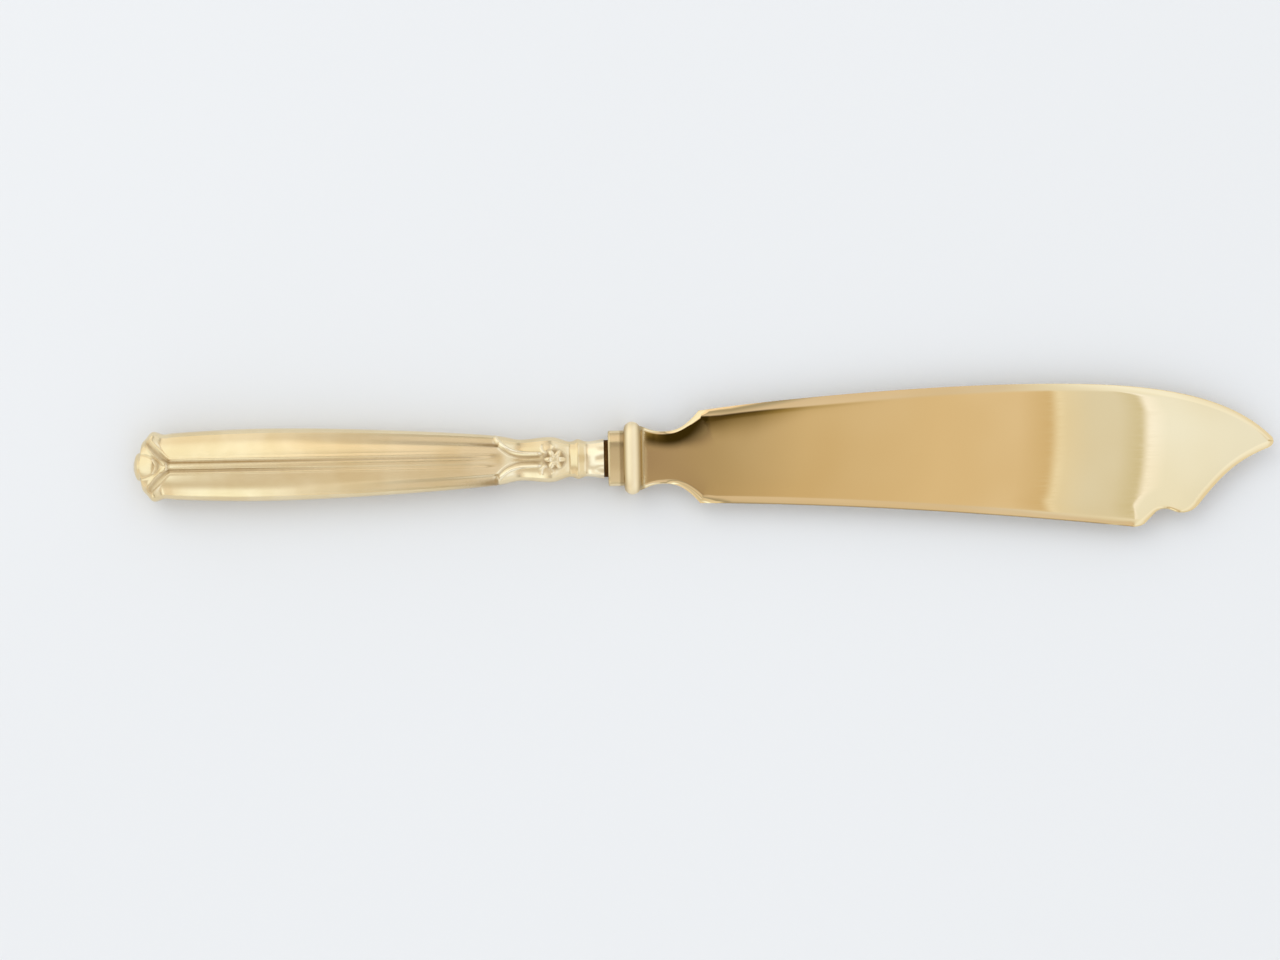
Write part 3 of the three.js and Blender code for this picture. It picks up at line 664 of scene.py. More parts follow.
def down_the_handle(rows_per_root_mm):
    """Rows on a smooth curve through the stations, and the row where each station lies.

    The number of rows in a stretch goes with the square root of its length, so short stretches are finer.
    """
    spots = np.concatenate([[2 * STATIONS[0] - STATIONS[1]], STATIONS, [2 * STATIONS[-1] - STATIONS[-2]]])
    line, at = [STATIONS[0]], [0]
    for k in range(len(STATIONS) - 1):
        before, start, end, after = spots[k : k + 4]
        gaps = [np.linalg.norm(b - a) ** 0.5 for a, b in ((before, start), (start, end), (end, after))]
        leave = (start - before) / gaps[0] - (end - before) / (gaps[0] + gaps[1]) + (end - start) / gaps[1]
        arrive = (end - start) / gaps[1] - (after - start) / (gaps[1] + gaps[2]) + (after - end) / gaps[2]
        leave, arrive = leave * gaps[1], arrive * gaps[1]
        steps = math.ceil(rows_per_root_mm * abs(end[0] - start[0]) ** 0.5)
        for t in np.linspace(0, 1, steps + 1)[1:]:
            curve = (2 * t**3 - 3 * t**2 + 1) * start + (t**3 - 2 * t**2 + t) * leave
            line.append(curve + (3 * t**2 - 2 * t**3) * end + (t**3 - t**2) * arrive)
        at.append(len(line) - 1)
    return np.array(line), at


def oval(width, thickness, turns):
    """Points of the handle's full oval section at angles from its middle line."""
    across = np.sin(turns)
    rise = np.clip(1 - np.abs(across) ** SECTION_POWER, 0, 1) ** (1 / SECTION_POWER)
    return width * across, thickness * np.copysign(rise, np.cos(turns))


turns = np.linspace(-math.pi, math.pi, CEMENT_COLUMNS + 1)[:-1]
cement_line, cement_at = down_the_handle(CEMENT_ROWS)
cement_line = cement_line[: cement_at[HOLLOW_STATIONS - 1] + 1]
cement_inset = SHEET + FIT_GAP
lip_side, lip_rise = STATIONS[0][1] - SHEET / 2, STATIONS[0][2] - SHEET / 2
cement_rings = []
for along in (MOUTH_JOINT, 0.0):
    ring = zip(lip_side * np.sin(turns), lip_rise * np.cos(turns))
    cement_rings.append([(along, y, z) for y, z in ring])
for along, width, thickness in cement_line:
    ring = zip(*oval(width - cement_inset, thickness - cement_inset, turns))
    cement_rings.append([(along * (1 - cement_inset / HANDLE_LENGTH), y, z) for y, z in ring])
filling = lofted("cement_filling", np.array(cement_rings))
filling = cut_or_joined(filling, "DIFFERENCE", tang_solid("tang_socket", FIT_GAP))

cement, place = new_finish("cement")
grit = place.noise(scale=2600, detail=5)
place.coat(
    {
        "Base Color": grit.rise(0.45, 0.75).blend(CEMENT, CEMENT_DUST),
        "Roughness": 0.75 + 0.15 * grit,
        "Specular IOR Level": 0.1,
        "Normal": grit.bump(distance=0.0001, strength=0.6),
    }
)
smoothed(filling, cement, sharp_angle=35)
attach(filling, "root")
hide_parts("handle_filling")


# The two handle shells: thin silver sheet struck in a pair of matching dies, then gilt and polished.
# Reed, grooves, lips, hollows, leaf edges, rosette and fluted cuff are all pressed up in the one sheet.
# The shells meet rim to rim along the sides of the handle, where they are soldered.

SEAM_HALF_THICKNESS = 0.15
SHELL_ROWS = 11
COLUMNS = 140
INNER_STEP = 5
SHOULDER_X = STATIONS[6][0]
SHOULDER_SIDE = STATIONS[6][1]
BUD_X = STATIONS[4][0]
ROSETTE_X = BUD_X + 0.7
PETALS = 6
CUFF_FLUTES = 10
RELIEF_SIZES = {
    "Reed width": 2.2,
    "Reed height": 0.19,
    "Reed run-in": 8.0,
    "Groove width": 1.2,
    "Groove depth": 0.26,
    "Lip width": 1.1,
    "Lip height": 0.11,
    "Fan length": 9.2,
    "Fan spread": 10.0,
    "Fan power": 1.4,
    "Lobe reach": 6.3,
    "Lobe side": 3.1,
    "Lobe height": 0.2,
    "Reed end": 8.7,
    "Bar place": 7.6,
    "Bar height": 0.15,
    "Hollow depth": 0.55,
    "Hollow length": 48.0,
    "Hollow place": 0.72,
    "Relief end": 0.7,
    "Cuff flute depth": 0.22,
    "Cuff flute length": 2.4,
    "Leaf edge length": 11.0,
    "Leaf edge end": 1.43,
    "Leaf edge width": 1.3,
    "Leaf edge height": 0.3,
    "Rosette radius": 2.5,
    "Petal width": 1.35,
    "Petal height": 0.42,
    "Eye radius": 0.6,
    "Tendril radius": 1.45,
    "Tendril width": 0.8,
    "Tendril height": 0.2,
    "Ground depth": 0.16,
}

# Places and shares that set out the relief. The grooves are worn near the shoulder and crisp near the butt.
FAN_START = 0.35
FAN_GROOVE_WIDENING = 1.6
FAN_LIP_WIDENING = 1.2
FAINT_LOBE_GROOVE = 0.4
BAR_NARROWING = 1.5
HOLLOW_NARROWNESS = 5
WORN_TO = 25
CRISP_FROM = 65
WORN_DEPTH = 0.55
REED_END_DEPTH = 0.6
LEAF_ROOT = SHOULDER_X - 0.55
LEAF_ROOT_SIDE = SHOULDER_SIDE - 0.6
LEAF_CURVE = 4
PETAL_MIDDLE = 0.56
EYE_HEIGHT = 1.2
CURL_BEHIND_ROSETTE = 1.9
CURL_SIDE = 2.9
BUD_GROUND_X = BUD_X - 3
BUD_GROUND_LENGTH = 8
BUD_GROUND_SIDE = 3.6

# How dark each recess is made by dirt and painted shade, and how pale each high place is made by rubbing and
# a painted highlight, where 1 is the most.
DIRT_AND_SHADE = {
    "worn groove": 0.2,
    "crisp groove": 0.75,
    "painted shade in a worn groove on the spine half": 0.22,
    "painted shade in a crisp groove on the spine half": 0.10,
    "lost in the fan": 0.15,
    "lobe groove": 0.6,
    "reed end": 0.5,
    "hollow": 0.25,
    "painted shade in the hollow at the shoulder": 1.6,
    "flutes": 0.35,
    "rosette pits": 0.9,
    "leaf shade": 0.5,
    "bud ground": 0.5,
}
HIGHLIGHT_AND_RUBBING = {"leaf edge": 0.7, "petals": 0.2, "tendrils": 0.4, "cuff": 0.6}
# Painted shade: how far the darkening of the grooves moves towards the reed on the spine half.
GROOVE_SHADE_SHIFT = 0.3
GROOVE_DIRT_AND_SHADE_NARROWNESS = 1.35
# Painted shade in the hollows at the shoulder: its place, its lean by side, its narrowness and its fading.
SHOULDER_SHADE_SHIFT = 0.04
SHOULDER_SHADE_LEAN = 0.14
SHOULDER_SHADE_NARROWNESS = 6
SHOULDER_SHADE_POWER = 8
BRIGHT_GILT = (0.86, 0.72, 0.46, 1)
WARM_GILT = (0.80, 0.64, 0.37, 1)
# A pale gilt for the high places: rubbing wear and a painted highlight.
HIGHLIGHT_AND_RUBBED_GILT = (0.97, 0.88, 0.66, 1)
# The dark colour of dirt and painted shade in the recesses.
DIRT_AND_SHADE_COLOUR = (0.43, 0.30, 0.15, 1)
GILT_ROUGHNESS = 0.13
RUBBING_ROUGHNESS = 0.07
WEAR_ROUGHNESS = 0.05
RECESS_ROUGHNESS = 0.2

# The gilt silver: paler on the high places, by rubbing and a painted highlight, and darker in the
# recesses that the relief marks below, by dirt and painted shade.
gilt_silver, place = new_finish("gilt_silver")
recess = place.node("ShaderNodeAttribute", {"attribute_name": "recess"}, output="Fac")
wear = place.noise(scale=90, detail=3)
along_handle = place.node("ShaderNodeMapping", values={"Vector": place, "Scale": (1, 14, 14)})
rubbing = along_handle.noise(scale=260, detail=4)
speckle = place.noise(scale=1500, detail=3)
paled_by_highlight_and_rubbing = place.node("ShaderNodeAttribute", {"attribute_name": "rubbed"}, output="Fac")
# Paler on the high places, by rubbing and a painted highlight.
clean_gilt = paled_by_highlight_and_rubbing.blend(wear.rise(0.35, 0.7).blend(BRIGHT_GILT, WARM_GILT), HIGHLIGHT_AND_RUBBED_GILT)
# Dirt and painted shade, darker where the relief marked the recesses, with a speckle.
dirt_and_shade_amount = recess * (0.75 + 0.5 * speckle)
gilt_colour = dirt_and_shade_amount.at_most(1).blend(clean_gilt, DIRT_AND_SHADE_COLOUR)
gilt_roughness = GILT_ROUGHNESS + RUBBING_ROUGHNESS * rubbing + WEAR_ROUGHNESS * wear
gilt_roughness = gilt_roughness + RECESS_ROUGHNESS * recess
rubbing_bump = rubbing.bump(distance=0.0000006)
place.coat({"Base Color": gilt_colour, "Metallic": 1, "Roughness": gilt_roughness, "Normal": rubbing_bump})

# The relief as a height above the plain section, from the place along the handle and across it.
struck, size = new_shape("struck_relief", *RELIEF_SIZES)
sheet = size["Geometry"]


def carried(name, kind="FLOAT"):
    """A fact that each point of the shell carries."""
    return sheet.node("GeometryNodeInputNamedAttribute", {"data_type": kind}, {"Name": name})


def hump(t):
    """A rounded hump from -1 to 1, with no step at its ends."""
    top = (1 - t * t).at_least(0)
    return top * top


along, across, turn, share = (carried(name) for name in ("along", "across", "turn", "share"))
past_shoulder = SHOULDER_X - along
from_butt = along + HANDLE_LENGTH

# The reed with a groove and a lip on each side, which parts and fans out to the corners of the butt.
into_fan = (1 - from_butt / size["Fan length"]).at_least(0)
inward = size["Reed width"] * 0.5 + size["Fan spread"] * into_fan ** size["Fan power"] - across
on_reed = inward * 2 / size["Reed width"] - 1
reed = size["Reed height"] * (1 - on_reed * on_reed).at_least(0)
fan_share = into_fan.rise(0, FAN_START)
groove_width = size["Groove width"] * (1 + FAN_GROOVE_WIDENING * fan_share)
groove = hump(inward * 2 / groove_width)
lip_width = size["Lip width"] * (1 + FAN_LIP_WIDENING * fan_share)
lip = hump((inward + lip_width * 0.5) * 2 / lip_width)

# The lobe in the middle of the butt with a groove round it, and the bar beside the parting of the reed.
up_lobe = from_butt / size["Lobe reach"]
over_lobe = across / size["Lobe side"]
lobe_share = (up_lobe * up_lobe + over_lobe * over_lobe).math("SQRT")
lobe = size["Lobe height"] * (1 - lobe_share * lobe_share).at_least(0)
lobe_groove = hump((lobe_share - 1) * (size["Lobe reach"] + size["Lobe side"]) / size["Groove width"])
lobe_groove = lobe_groove * between(FAINT_LOBE_GROOVE, 1, up_lobe.rise(0.75, 0.95))
across_reed = hump(across / size["Reed width"])
reed_end = hump((from_butt - size["Reed end"]) * 2 / size["Groove width"]) * across_reed
bar = hump((from_butt - size["Bar place"]) * 2 / size["Reed width"] * BAR_NARROWING) * across_reed

# The side hollows, which deepen towards the shoulder. Then the sum of the mouldings behind the shoulder.
deepening = (1 - past_shoulder / size["Hollow length"]).at_least(0) * past_shoulder.rise(-0.3, 0.3)
hollow = deepening * hump((share - size["Hollow place"]) * HOLLOW_NARROWNESS)
crisp = past_shoulder.rise(WORN_TO, CRISP_FROM)
cut = groove * between(WORN_DEPTH, 1, crisp) + lobe_groove + reed_end * REED_END_DEPTH
standing = reed + lobe + lip * size["Lip height"] + bar * size["Bar height"]
on_face = past_shoulder.rise(0, size["Reed run-in"]) * (1 - (share - size["Relief end"]).rise(0, 0.2))
moulding = on_face * (standing - cut * size["Groove depth"]) - hollow * size["Hollow depth"]

# The flutes of the cuff, which fade away from the mouth.
fluted = 1 - (-along / size["Cuff flute length"]).rise(0, 1)
flutes = fluted * (0.5 + 0.5 * (turn * CUFF_FLUTES).math("COSINE"))

# The leaf edges: two ridges that leave the sides at the shoulder and close in along the bud.
past_root = along - LEAF_ROOT
leaf_share = (past_root / size["Leaf edge length"]).at_least(-0.06).at_most(1)
leaf_line = size["Leaf edge end"] + (LEAF_ROOT_SIDE - size["Leaf edge end"]) * (1 - leaf_share) ** LEAF_CURVE
leaf_there = past_root.rise(-0.6, 0) * (1 - (past_root - size["Leaf edge length"]).rise(-1.2, 0))
leaf_half = size["Leaf edge width"] * 0.5 * (1.15 - 0.4 * leaf_share)
leaf_edge = leaf_there * hump((across - leaf_line) / leaf_half)
leaf_shade = leaf_there * hump((across - leaf_line + leaf_half * 1.5) / leaf_half)

# The rosette: petals round an eye, on a sunk ground.
from_centre = along - ROSETTE_X
rosette_reach = (from_centre * from_centre + across * across).math("SQRT")
rosette_share = rosette_reach / size["Rosette radius"]
petal_angle = across.math("ARCTAN2", from_centre).math("PINGPONG", math.pi / PETALS)
up_petal = rosette_reach * petal_angle.math("COSINE")
over_petal = rosette_reach * petal_angle.math("SINE")
petal_middle = size["Rosette radius"] * PETAL_MIDDLE
petal_long = (up_petal - petal_middle) / (size["Rosette radius"] - petal_middle)
petal_wide = over_petal * 2 / size["Petal width"]
petal = (1 - petal_long * petal_long - petal_wide * petal_wide).at_least(0).math("SQRT")
eye_reach = rosette_reach / size["Eye radius"]
eye = (1 - eye_reach * eye_reach).at_least(0).math("SQRT")
ground = 1 - rosette_share.rise(0.75, 1.2)
ornament = (petal * size["Petal height"]).at_least(eye * size["Petal height"] * EYE_HEIGHT)
ornament = ornament - ground * size["Ground depth"]
ornament = ornament + leaf_edge * size["Leaf edge height"] - leaf_shade * size["Ground depth"]

# The tendrils: a curl on each side, behind the rosette.
from_curl = from_centre + CURL_BEHIND_ROSETTE
over_curl = across - CURL_SIDE
curl_reach = (from_curl * from_curl + over_curl * over_curl).math("SQRT")
tendril = hump((curl_reach - size["Tendril radius"]) * 2 / size["Tendril width"])
tendril = tendril * (1 - over_curl.rise(0, 0.9)) * (1 - petal) * rosette_share.rise(0.8, 1.1)
ornament = ornament + tendril * (size["Tendril height"] - ornament)
relief = moulding - flutes * size["Cuff flute depth"] + ornament

# Dirt and painted shade in the recesses. On the spine half, painted shade adds to the grooves and lies nearer
# the reed. The extra darkening in the hollows at the shoulder is painted shade, which on the spine half lies
# nearer the middle line.
on_spine_half = 0.5 + 0.5 * turn.math("SIGN")
groove_dirt_and_shade = between(DIRT_AND_SHADE["worn groove"], DIRT_AND_SHADE["crisp groove"], crisp)
# Painted shade, added to the grooves on the spine half.
spine_half_groove_shade = between(DIRT_AND_SHADE["painted shade in a worn groove on the spine half"], DIRT_AND_SHADE["painted shade in a crisp groove on the spine half"], crisp)
groove_dirt_and_shade = groove_dirt_and_shade + on_spine_half * spine_half_groove_shade - DIRT_AND_SHADE["lost in the fan"] * fan_share
dirt_and_shade_line = hump((inward - GROOVE_SHADE_SHIFT * on_spine_half) * GROOVE_DIRT_AND_SHADE_NARROWNESS / groove_width)
dirt_and_shade_sum = on_face * (dirt_and_shade_line * groove_dirt_and_shade + lobe_groove * DIRT_AND_SHADE["lobe groove"] + reed_end * DIRT_AND_SHADE["reed end"])
# Painted shade in the hollows at the shoulder, placed by the side of the handle.
shoulder_shade_place = size["Hollow place"] + SHOULDER_SHADE_SHIFT - SHOULDER_SHADE_LEAN * turn.math("SIGN")
shoulder_shade = hump((share - shoulder_shade_place) * SHOULDER_SHADE_NARROWNESS)
shoulder_shade = shoulder_shade * deepening**SHOULDER_SHADE_POWER
dirt_and_shade_sum = dirt_and_shade_sum + hollow * DIRT_AND_SHADE["hollow"] + shoulder_shade * DIRT_AND_SHADE["painted shade in the hollow at the shoulder"]
# Dirt and painted shade in the rosette's pits, the flutes, under the leaf edges and on the bud's ground.
pits = ground * (1 - petal * 2.5).at_least(0) * (1 - eye * 2).at_least(0)
bud_ground = hump((along - BUD_GROUND_X) / BUD_GROUND_LENGTH) * hump(across / BUD_GROUND_SIDE)
bud_ground = bud_ground * (1 - leaf_edge) * (1 - petal) * (1 - tendril)
dirt_and_shade_sum = dirt_and_shade_sum + flutes * DIRT_AND_SHADE["flutes"] + pits * DIRT_AND_SHADE["rosette pits"]
dirt_and_shade_sum = dirt_and_shade_sum + leaf_shade * DIRT_AND_SHADE["leaf shade"] + bud_ground * DIRT_AND_SHADE["bud ground"]
on_cuff = along.rise(-4.6, -3.6)
# Painted highlight, with rubbing wear, on the leaf edges, petals, tendrils and cuff.
high = leaf_edge * HIGHLIGHT_AND_RUBBING["leaf edge"] + petal * HIGHLIGHT_AND_RUBBING["petals"]
high = high + tendril * HIGHLIGHT_AND_RUBBING["tendrils"] + on_cuff * HIGHLIGHT_AND_RUBBING["cuff"]


def stored(geometry, name, value):
    """The geometry with a value from 0 to 1 kept on its points for the gilding to read."""
    return sheet.node(
        "GeometryNodeStoreNamedAttribute",
        {"data_type": "FLOAT", "domain": "POINT"},
        {"Geometry": geometry, "Name": name, "Value": value.at_most(1).at_least(0)},
    )


marked = stored(stored(sheet, "recess", dirt_and_shade_sum), "rubbed", high)
outward = carried("outward", "FLOAT_VECTOR")
lift = sheet.node("ShaderNodeVectorMath", {"operation": "SCALE"}, {"Vector": outward, "Scale": relief * MM})
raised = sheet.node("GeometryNodeSetPosition", values={"Geometry": marked, "Offset": lift})
end_shape(raised, gilt_silver)

# Rows and columns of points in a shell. The columns stand closest over the reed, and the inside has fewer.
handle_line, handle_at = down_the_handle(SHELL_ROWS)
hollow_end = handle_at[HOLLOW_STATIONS - 1]
inner_rows = [*range(0, hollow_end, INNER_STEP), hollow_end]
inner_columns = range(0, COLUMNS + 1, INNER_STEP)
reach = np.linspace(-1, 1, COLUMNS + 1)
column_turns = math.pi / 2 * (0.55 * reach + 0.45 * reach**3)


def half_shell(name, side):
    """One struck half of the handle. Side is 1 for the front and -1 for the back.

    Each point carries the facts that the relief reads: its place along the handle, its distance from the
    middle line, its turn round the section, its share of the half width, and the way outwards.
    """
    points, facts = [], {"along": [], "across": [], "turn": [], "share": [], "outward": []}

    def add_row(along, width, thickness, place, turns):
        y, z = oval(width, thickness, turns)
        above_seam = SEAM_HALF_THICKNESS + z * (1 - SEAM_HALF_THICKNESS / thickness)
        points.extend(zip(np.full(len(y), place), y, side * above_seam))
        facts["along"].extend(np.full(len(y), along))
        facts["across"].extend(np.abs(y))
        facts["turn"].extend(turns)
        facts["share"].extend(np.abs(y) / width)
        radius = np.hypot(y, z)
        facts["outward"].extend(zip(np.zeros(len(y)), y / radius, side * z / radius))

    for along, width, thickness in handle_line:
        add_row(along, width, thickness, along, column_turns)
    for along, width, thickness in handle_line[inner_rows]:
        place = along * (1 - SHEET / HANDLE_LENGTH)
        add_row(along, width - SHEET, thickness - SHEET, place, column_turns[inner_columns])

    wide, narrow = COLUMNS + 1, len(inner_columns)
    start, last_row, last = len(handle_line) * wide, len(handle_line) - 1, len(inner_rows) - 1

    def outer(row, column):
        return row * wide + column

    def inner(row, column):
        return start + row * narrow + column

    def grid(spot, row_count, column_count):
        for row in range(row_count - 1):
            for column in range(column_count - 1):
                corners = ((row, column), (row, column + 1), (row + 1, column + 1), (row + 1, column))
                yield tuple(spot(*corner) for corner in corners)

    faces = [*grid(outer, len(handle_line), wide), *grid(inner, len(inner_rows), narrow)]
    for k in range(narrow - 1):
        rim = [outer(0, column) for column in range(inner_columns[k], inner_columns[k + 1] + 1)]
        faces.append((*rim, inner(0, k + 1), inner(0, k)))
    for edge, inner_edge in ((0, 0), (COLUMNS, narrow - 1)):
        for k in range(last):
            rim = [outer(row, edge) for row in range(inner_rows[k], inner_rows[k + 1] + 1)]
            faces.append((*rim, inner(k + 1, inner_edge), inner(k, inner_edge)))
    solid_butt = [outer(row, COLUMNS) for row in range(hollow_end, last_row + 1)]
    solid_butt += [outer(row, 0) for row in range(last_row, hollow_end - 1, -1)]
    faces.append((*solid_butt, inner(last, 0), inner(last, narrow - 1)))
    faces.append(tuple(inner(last, k) for k in range(narrow)))
    faces.append(tuple(outer(last_row, k) for k in range(wide)))

    shell = piece_of(name, points, faces)
    for fact, values in facts.items():
        kind, field = ("FLOAT_VECTOR", "vector") if fact == "outward" else ("FLOAT", "value")
        shell.data.attributes.new(fact, kind, "POINT").data.foreach_set(field, np.ravel(values))
    shell = shaped(shell, struck, RELIEF_SIZES)
    for fact in facts:
        shell.data.attributes.remove(shell.data.attributes[fact])
    smoothed(shell, gilt_silver, sharp_angle=50)
    return shell


for shell, node in (
    (half_shell("front_shell", 1), "handle_front_shell"),
    (half_shell("back_shell", -1), "handle_back_shell"),
):
    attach(shell, "root")
    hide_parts(node)


# The seam: a line of hard silver solder run between the rims of the two shells, down one side of the
# handle, round the butt and back up the other. It is filed almost flush and gilt with the shells.

SEAM_BELOW_SHELLS = 0.04
SEAM_LEAST_SIDE = 0.5
SOLDER_PALE = (0.80, 0.68, 0.44, 1)
SOLDER_DARK = (0.52, 0.38, 0.20, 1)

# The solder follows the last column of the struck front shell, which is its rim on the spine side.
front = bpy.data.objects["front_shell"].data
rim_column = range(COLUMNS, len(handle_line) * (COLUMNS + 1), COLUMNS + 1)
rim_points = np.array([tuple(front.vertices[k].co) for k in rim_column])
rim_points = (rim_points - MOUTH) / MM
hollow_x = handle_line[hollow_end][0] * (1 - SHEET / HANDLE_LENGTH)
solder_rings = []
for x, y, _ in rim_points:
    inner_x = max(x * (1 - SHEET / HANDLE_LENGTH), hollow_x)
    inner_y = y - SHEET if x > handle_line[hollow_end][0] else max(SEAM_LEAST_SIDE, y - SHEET)
    outer_y = y - SEAM_BELOW_SHELLS
    outer_x = max(x, SEAM_BELOW_SHELLS - HANDLE_LENGTH)
    solder_rings.append(
        [
            (outer_x, outer_y, SEAM_HALF_THICKNESS),
            (outer_x, outer_y, -SEAM_HALF_THICKNESS),
            (inner_x, inner_y, -SEAM_HALF_THICKNESS),
            (inner_x, inner_y, SEAM_HALF_THICKNESS),
        ]
    )
other_side = [[(x, -y, z) for x, y, z in ring] for ring in reversed(solder_rings)]
seam = lofted("seam_solder", np.array(solder_rings + other_side))

seam_solder, place = new_finish("seam_solder")
file_marks = place.noise(scale=1100, detail=4)
place.coat(
    {
        "Base Color": file_marks.rise(0.35, 0.7).blend(SOLDER_DARK, SOLDER_PALE),
        "Metallic": 1,
        "Roughness": 0.28 + 0.15 * file_marks,
        "Normal": file_marks.bump(distance=0.00002, strength=0.4),
    }
)
smoothed(seam, seam_solder, sharp_angle=40)
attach(seam, "root")
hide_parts("handle_seam_solder")


# The table: a plain pale sheet of matt paper that the knife lies on, wide enough to fill every view.
# It only shows the knife off, and is no part of it.

FLOOR_REACH = 3.0
FLOOR_PALE = (0.80, 0.81, 0.82, 1)
FLOOR_SHADE = (0.77, 0.78, 0.79, 1)
table_corners = [(FLOOR_REACH * x, FLOOR_REACH * y, 0) for x, y in ((-1, -1), (1, -1), (1, 1), (-1, 1))]
table_mesh = bpy.data.meshes.new("table")
table_mesh.from_pydata(table_corners, [], [(0, 1, 2, 3)])
table = placed("table", table_mesh)
table_paper, place = new_finish("table_paper")
paper_colour = place.noise(scale=3, detail=3).blend(FLOOR_SHADE, FLOOR_PALE)
place.coat({"Base Color": paper_colour, "Roughness": 0.9, "Specular IOR Level": 0.2})
table_mesh.materials.append(table_paper)


# The studio: a soft surround of pale and warm walls, which the polished metal mirrors, and one broad lamp to
# the upper left that casts the shadow on the table. A direction in the surround is given by how far it leans
# from straight overhead: lean_x towards the tip of the knife, and lean_y towards its spine.

# Below this height a direction counts as no lower, so that the leans stay small.
LOWEST = 0.05
studio = bpy.data.worlds.new("studio")
studio.use_nodes = True
studio.node_tree.nodes.clear()
room = Socket(studio.node_tree)
toward_tip, toward_spine, upward = room.node("ShaderNodeTexCoord", output="Generated").parts()
upward = upward.at_least(LOWEST)
lean_x = toward_tip / (toward_spine * toward_spine + upward * upward).math("SQRT")
lean_y = toward_spine / upward

# Wall colours along lean_x, each at its place. These are over the blade: a brown corner over the neck, then
# a warm wall, a pale wall, and a bright window over the tip.
WALL_COLOURS = [
    (-0.020, (0.86, 0.82, 0.76)),
    (-0.0125, (0.84, 0.80, 0.74)),
    (-0.0108, (0.76, 0.70, 0.63)),
    (-0.0058, (0.76, 0.70, 0.63)),
    (-0.003, (0.45, 0.35, 0.26)),
    (0.002, (0.43, 0.33, 0.24)),
    (0.026, (0.54, 0.44, 0.30)),
    (0.055, (0.74, 0.61, 0.43)),
    (0.100, (0.88, 0.76, 0.61)),
    (0.126, (0.87, 0.75, 0.60)),
    (0.1362, (0.77, 0.63, 0.43)),
    (0.1392, (1.00, 0.98, 0.92)),
    (0.1417, (0.92, 0.90, 0.84)),
    (0.150, (0.87, 0.89, 0.90)),
    (0.159, (0.87, 0.90, 0.93)),
    (0.1665, (0.77, 0.77, 0.68)),
    (0.1690, (1.20, 1.31, 1.64)),
    (0.175, (1.06, 1.18, 1.42)),
    (0.205, (1.02, 1.14, 1.38)),
]
# Over the handle: warm walls, and a window past the butt.
FAR_WALL_COLOURS = [
    (-0.80, (1.18, 1.28, 1.36)),
    (-0.24, (1.15, 1.24, 1.32)),
    (-0.18, (0.74, 0.68, 0.60)),
    (-0.14, (0.60, 0.53, 0.45)),
    (-0.105, (0.75, 0.67, 0.59)),
    (-0.060, (0.87, 0.78, 0.68)),
    (-0.035, (0.74, 0.67, 0.59)),
    (-0.020, (0.86, 0.82, 0.76)),
]
# To either side of the blade, where its bevels and rolled edges look.
RIM_COLOURS = [
    (-0.020, (0.44, 0.41, 0.36)),
    (-0.004, (0.48, 0.45, 0.39)),
    (0.006, (0.66, 0.60, 0.54)),
    (0.014, (0.80, 0.71, 0.64)),
    (0.055, (0.86, 0.77, 0.70)),
    (0.110, (0.83, 0.78, 0.76)),
    (0.140, (0.92, 0.94, 0.96)),
    (0.170, (1.04, 1.12, 1.26)),
    (0.220, (1.14, 1.27, 1.52)),
    (0.400, (1.08, 1.17, 1.36)),
    (0.700, (0.98, 0.98, 0.97)),
]
# The bright wall above the handle on its spine side.
LIT_COLOURS = [
    (-0.140, (1.20, 1.26, 1.27)),
    (-0.105, (1.34, 1.35, 1.30)),
    (-0.060, (1.26, 1.10, 0.96)),
]
# The dark gap in the wall that the rolled spine mirrors from the neck to past the heel.
GAP_COLOURS = [
    (0.010, (0.045, 0.030, 0.006)),
    (0.020, (0.10, 0.068, 0.02)),
    (0.0265, (0.19, 0.135, 0.045)),
    (0.035, (0.36, 0.27, 0.11)),
    (0.053, (0.58, 0.47, 0.28)),
]
# Plain colours: past the tip, and to the edge side (low) and spine side (high) of the handle and the blade.
PAST_TIP = (0.75, 0.68, 0.56, 1)
LOW_BY_BUTT = (0.75, 0.71, 0.65, 1)
LOW_BY_MOUTH = (0.87, 0.81, 0.73, 1)
STEEP_HIGH_BY_BUTT = (1.08, 1.06, 1.02, 1)
STEEP_HIGH_BY_MOUTH = (0.88, 0.83, 0.79, 1)
STEEP_LOW = (0.96, 0.91, 0.85, 1)
STEEP_LOW_WINDOW = (1.35, 1.55, 1.70, 1)
STEEP_BY_HEEL = (0.45, 0.43, 0.40, 1)
STEEP_BY_TIP = (0.95, 0.98, 1.02, 1)


def painted(value, colours):
    """Colours laid along a value, each at its place."""
    low, high = colours[0][0], colours[-1][0]
    stops = [((place - low) / (high - low), (*colour, 1)) for place, colour in colours]
    return value.node("ShaderNodeValToRGB", {"stops": stops}, {"Fac": (value - low) / (high - low)})


# Overhead, the borders between the walls bow, on the edge side and, by the neck, on the spine side.
past_flat = lean_y - 0.3 * lean_x.at_least(0)
below_middle = (lean_y - 0.016).at_most(0)
edge_bow = 5 * (below_middle * below_middle).at_most(0.0009)
neck_bow = (past_flat - 0.008).at_least(0).at_most(0.03) * (1 - lean_x.rise(0, 0.012))
bowed = lean_x + edge_bow + neck_bow
over_neck = bowed.rise(-0.022, -0.018)
studio_colour = over_neck.blend(painted(lean_x, FAR_WALL_COLOURS), painted(bowed, WALL_COLOURS))
studio_colour = lean_x.rise(0.26, 0.34).blend(studio_colour, PAST_TIP)

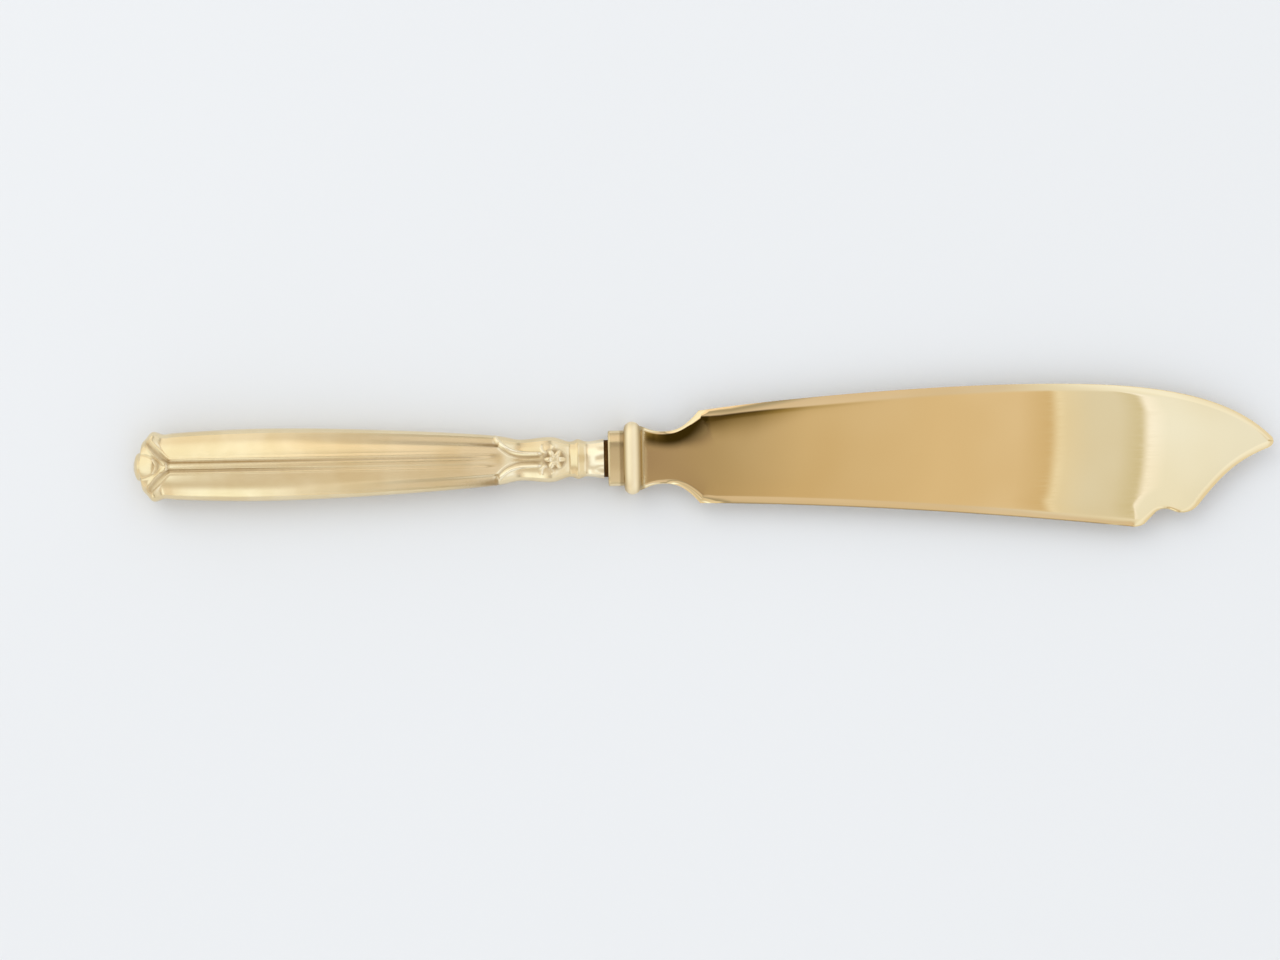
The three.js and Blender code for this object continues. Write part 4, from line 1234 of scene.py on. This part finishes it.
# The walls that start a little to the spine side of overhead, and a little to the edge side.
over_blade = lean_x.rise(-0.03, -0.010)
rim_colour = painted(lean_x, RIM_COLOURS)
high_share = lean_y.rise(0.02, 0.13) * (1 - over_blade) + lean_y.rise(0.05, 0.20) * over_blade
studio_colour = high_share.blend(studio_colour, over_blade.blend(painted(lean_x, LIT_COLOURS), rim_colour))
low_side = -lean_y
low_share = low_side.rise(0.10, 0.50) * (1 - over_blade) + low_side.rise(0.018, 0.06) * over_blade
low_colour = lean_x.rise(-0.13, -0.06).blend(LOW_BY_BUTT, LOW_BY_MOUTH)
studio_colour = low_share.blend(studio_colour, over_blade.blend(low_colour, rim_colour))

# The steep walls, far to either side.
steep_blade = lean_x.rise(0.05, 0.13).blend(STEEP_BY_HEEL, STEEP_BY_TIP)
steep_high = lean_x.rise(-0.15, -0.10).blend(STEEP_HIGH_BY_BUTT, STEEP_HIGH_BY_MOUTH)
low_window = lean_x.rise(-0.28, -0.18) * (1 - lean_x.rise(-0.15, -0.10))
steep_low = low_window.blend(STEEP_LOW, STEEP_LOW_WINDOW)
steep_colour = lean_y.rise(-0.01, 0.01).blend(steep_low, steep_high)
steep_colour = over_blade.blend(steep_colour, steep_blade)
steepness = lean_y.math("ABSOLUTE") - over_blade * 0.7
studio_colour = steepness.rise(0.45, 1.2).blend(studio_colour, steep_colour)

# The dark gap, which narrows towards the tip.
gap_end = lean_y + 1.5 * (lean_x - 0.02).at_least(0)
dark_gap = past_flat.rise(0.006, 0.070) * (1 - gap_end.rise(0.14, 0.22))
dark_gap = dark_gap * lean_x.rise(-0.07, -0.04) * (1 - lean_x.rise(0.05, 0.085))
studio_colour = dark_gap.blend(studio_colour, painted(lean_x, GAP_COLOURS))
surround = room.node("ShaderNodeBackground", values={"Color": studio_colour, "Strength": 1.0})
room.node("ShaderNodeOutputWorld", values={"Surface": surround})
bpy.context.scene.world = studio

lamp_data = bpy.data.lights.new("window_lamp", "AREA")
lamp_data.size = 0.9
lamp_data.energy = 3.0
lamp = placed("window_lamp", lamp_data)
lamp.location = (-0.55, 0.75, 1.2)
lamp.rotation_euler = (-0.55, -0.4, 0)
lamp.visible_glossy = False


# The camera: it looks straight down through a long lens, from above a point just past the handle's mouth.
# It is turned by a degree, so that the knife lies a little aslant.

# One pixel of the image shows this many millimetres of the knife.
PIXEL = 0.23695
IMAGE_WIDTH = 1280
LENS = 85.0
SENSOR = 36.0
LOOKED_AT = (8.44, -5.23)
KNIFE_SLANT = 0.0183
camera_data = bpy.data.cameras.new("camera")
camera_data.lens = LENS
camera_data.sensor_width = SENSOR
camera = placed("camera", camera_data)
camera_height = PIXEL * IMAGE_WIDTH * LENS / SENSOR
camera.location = tuple(MOUTH + MM * np.array([*LOOKED_AT, camera_height]))
camera.rotation_euler = (0, 0, -math.atan(KNIFE_SLANT))
bpy.context.scene.camera = camera
bpy.context.scene.view_settings.view_transform = "Standard"
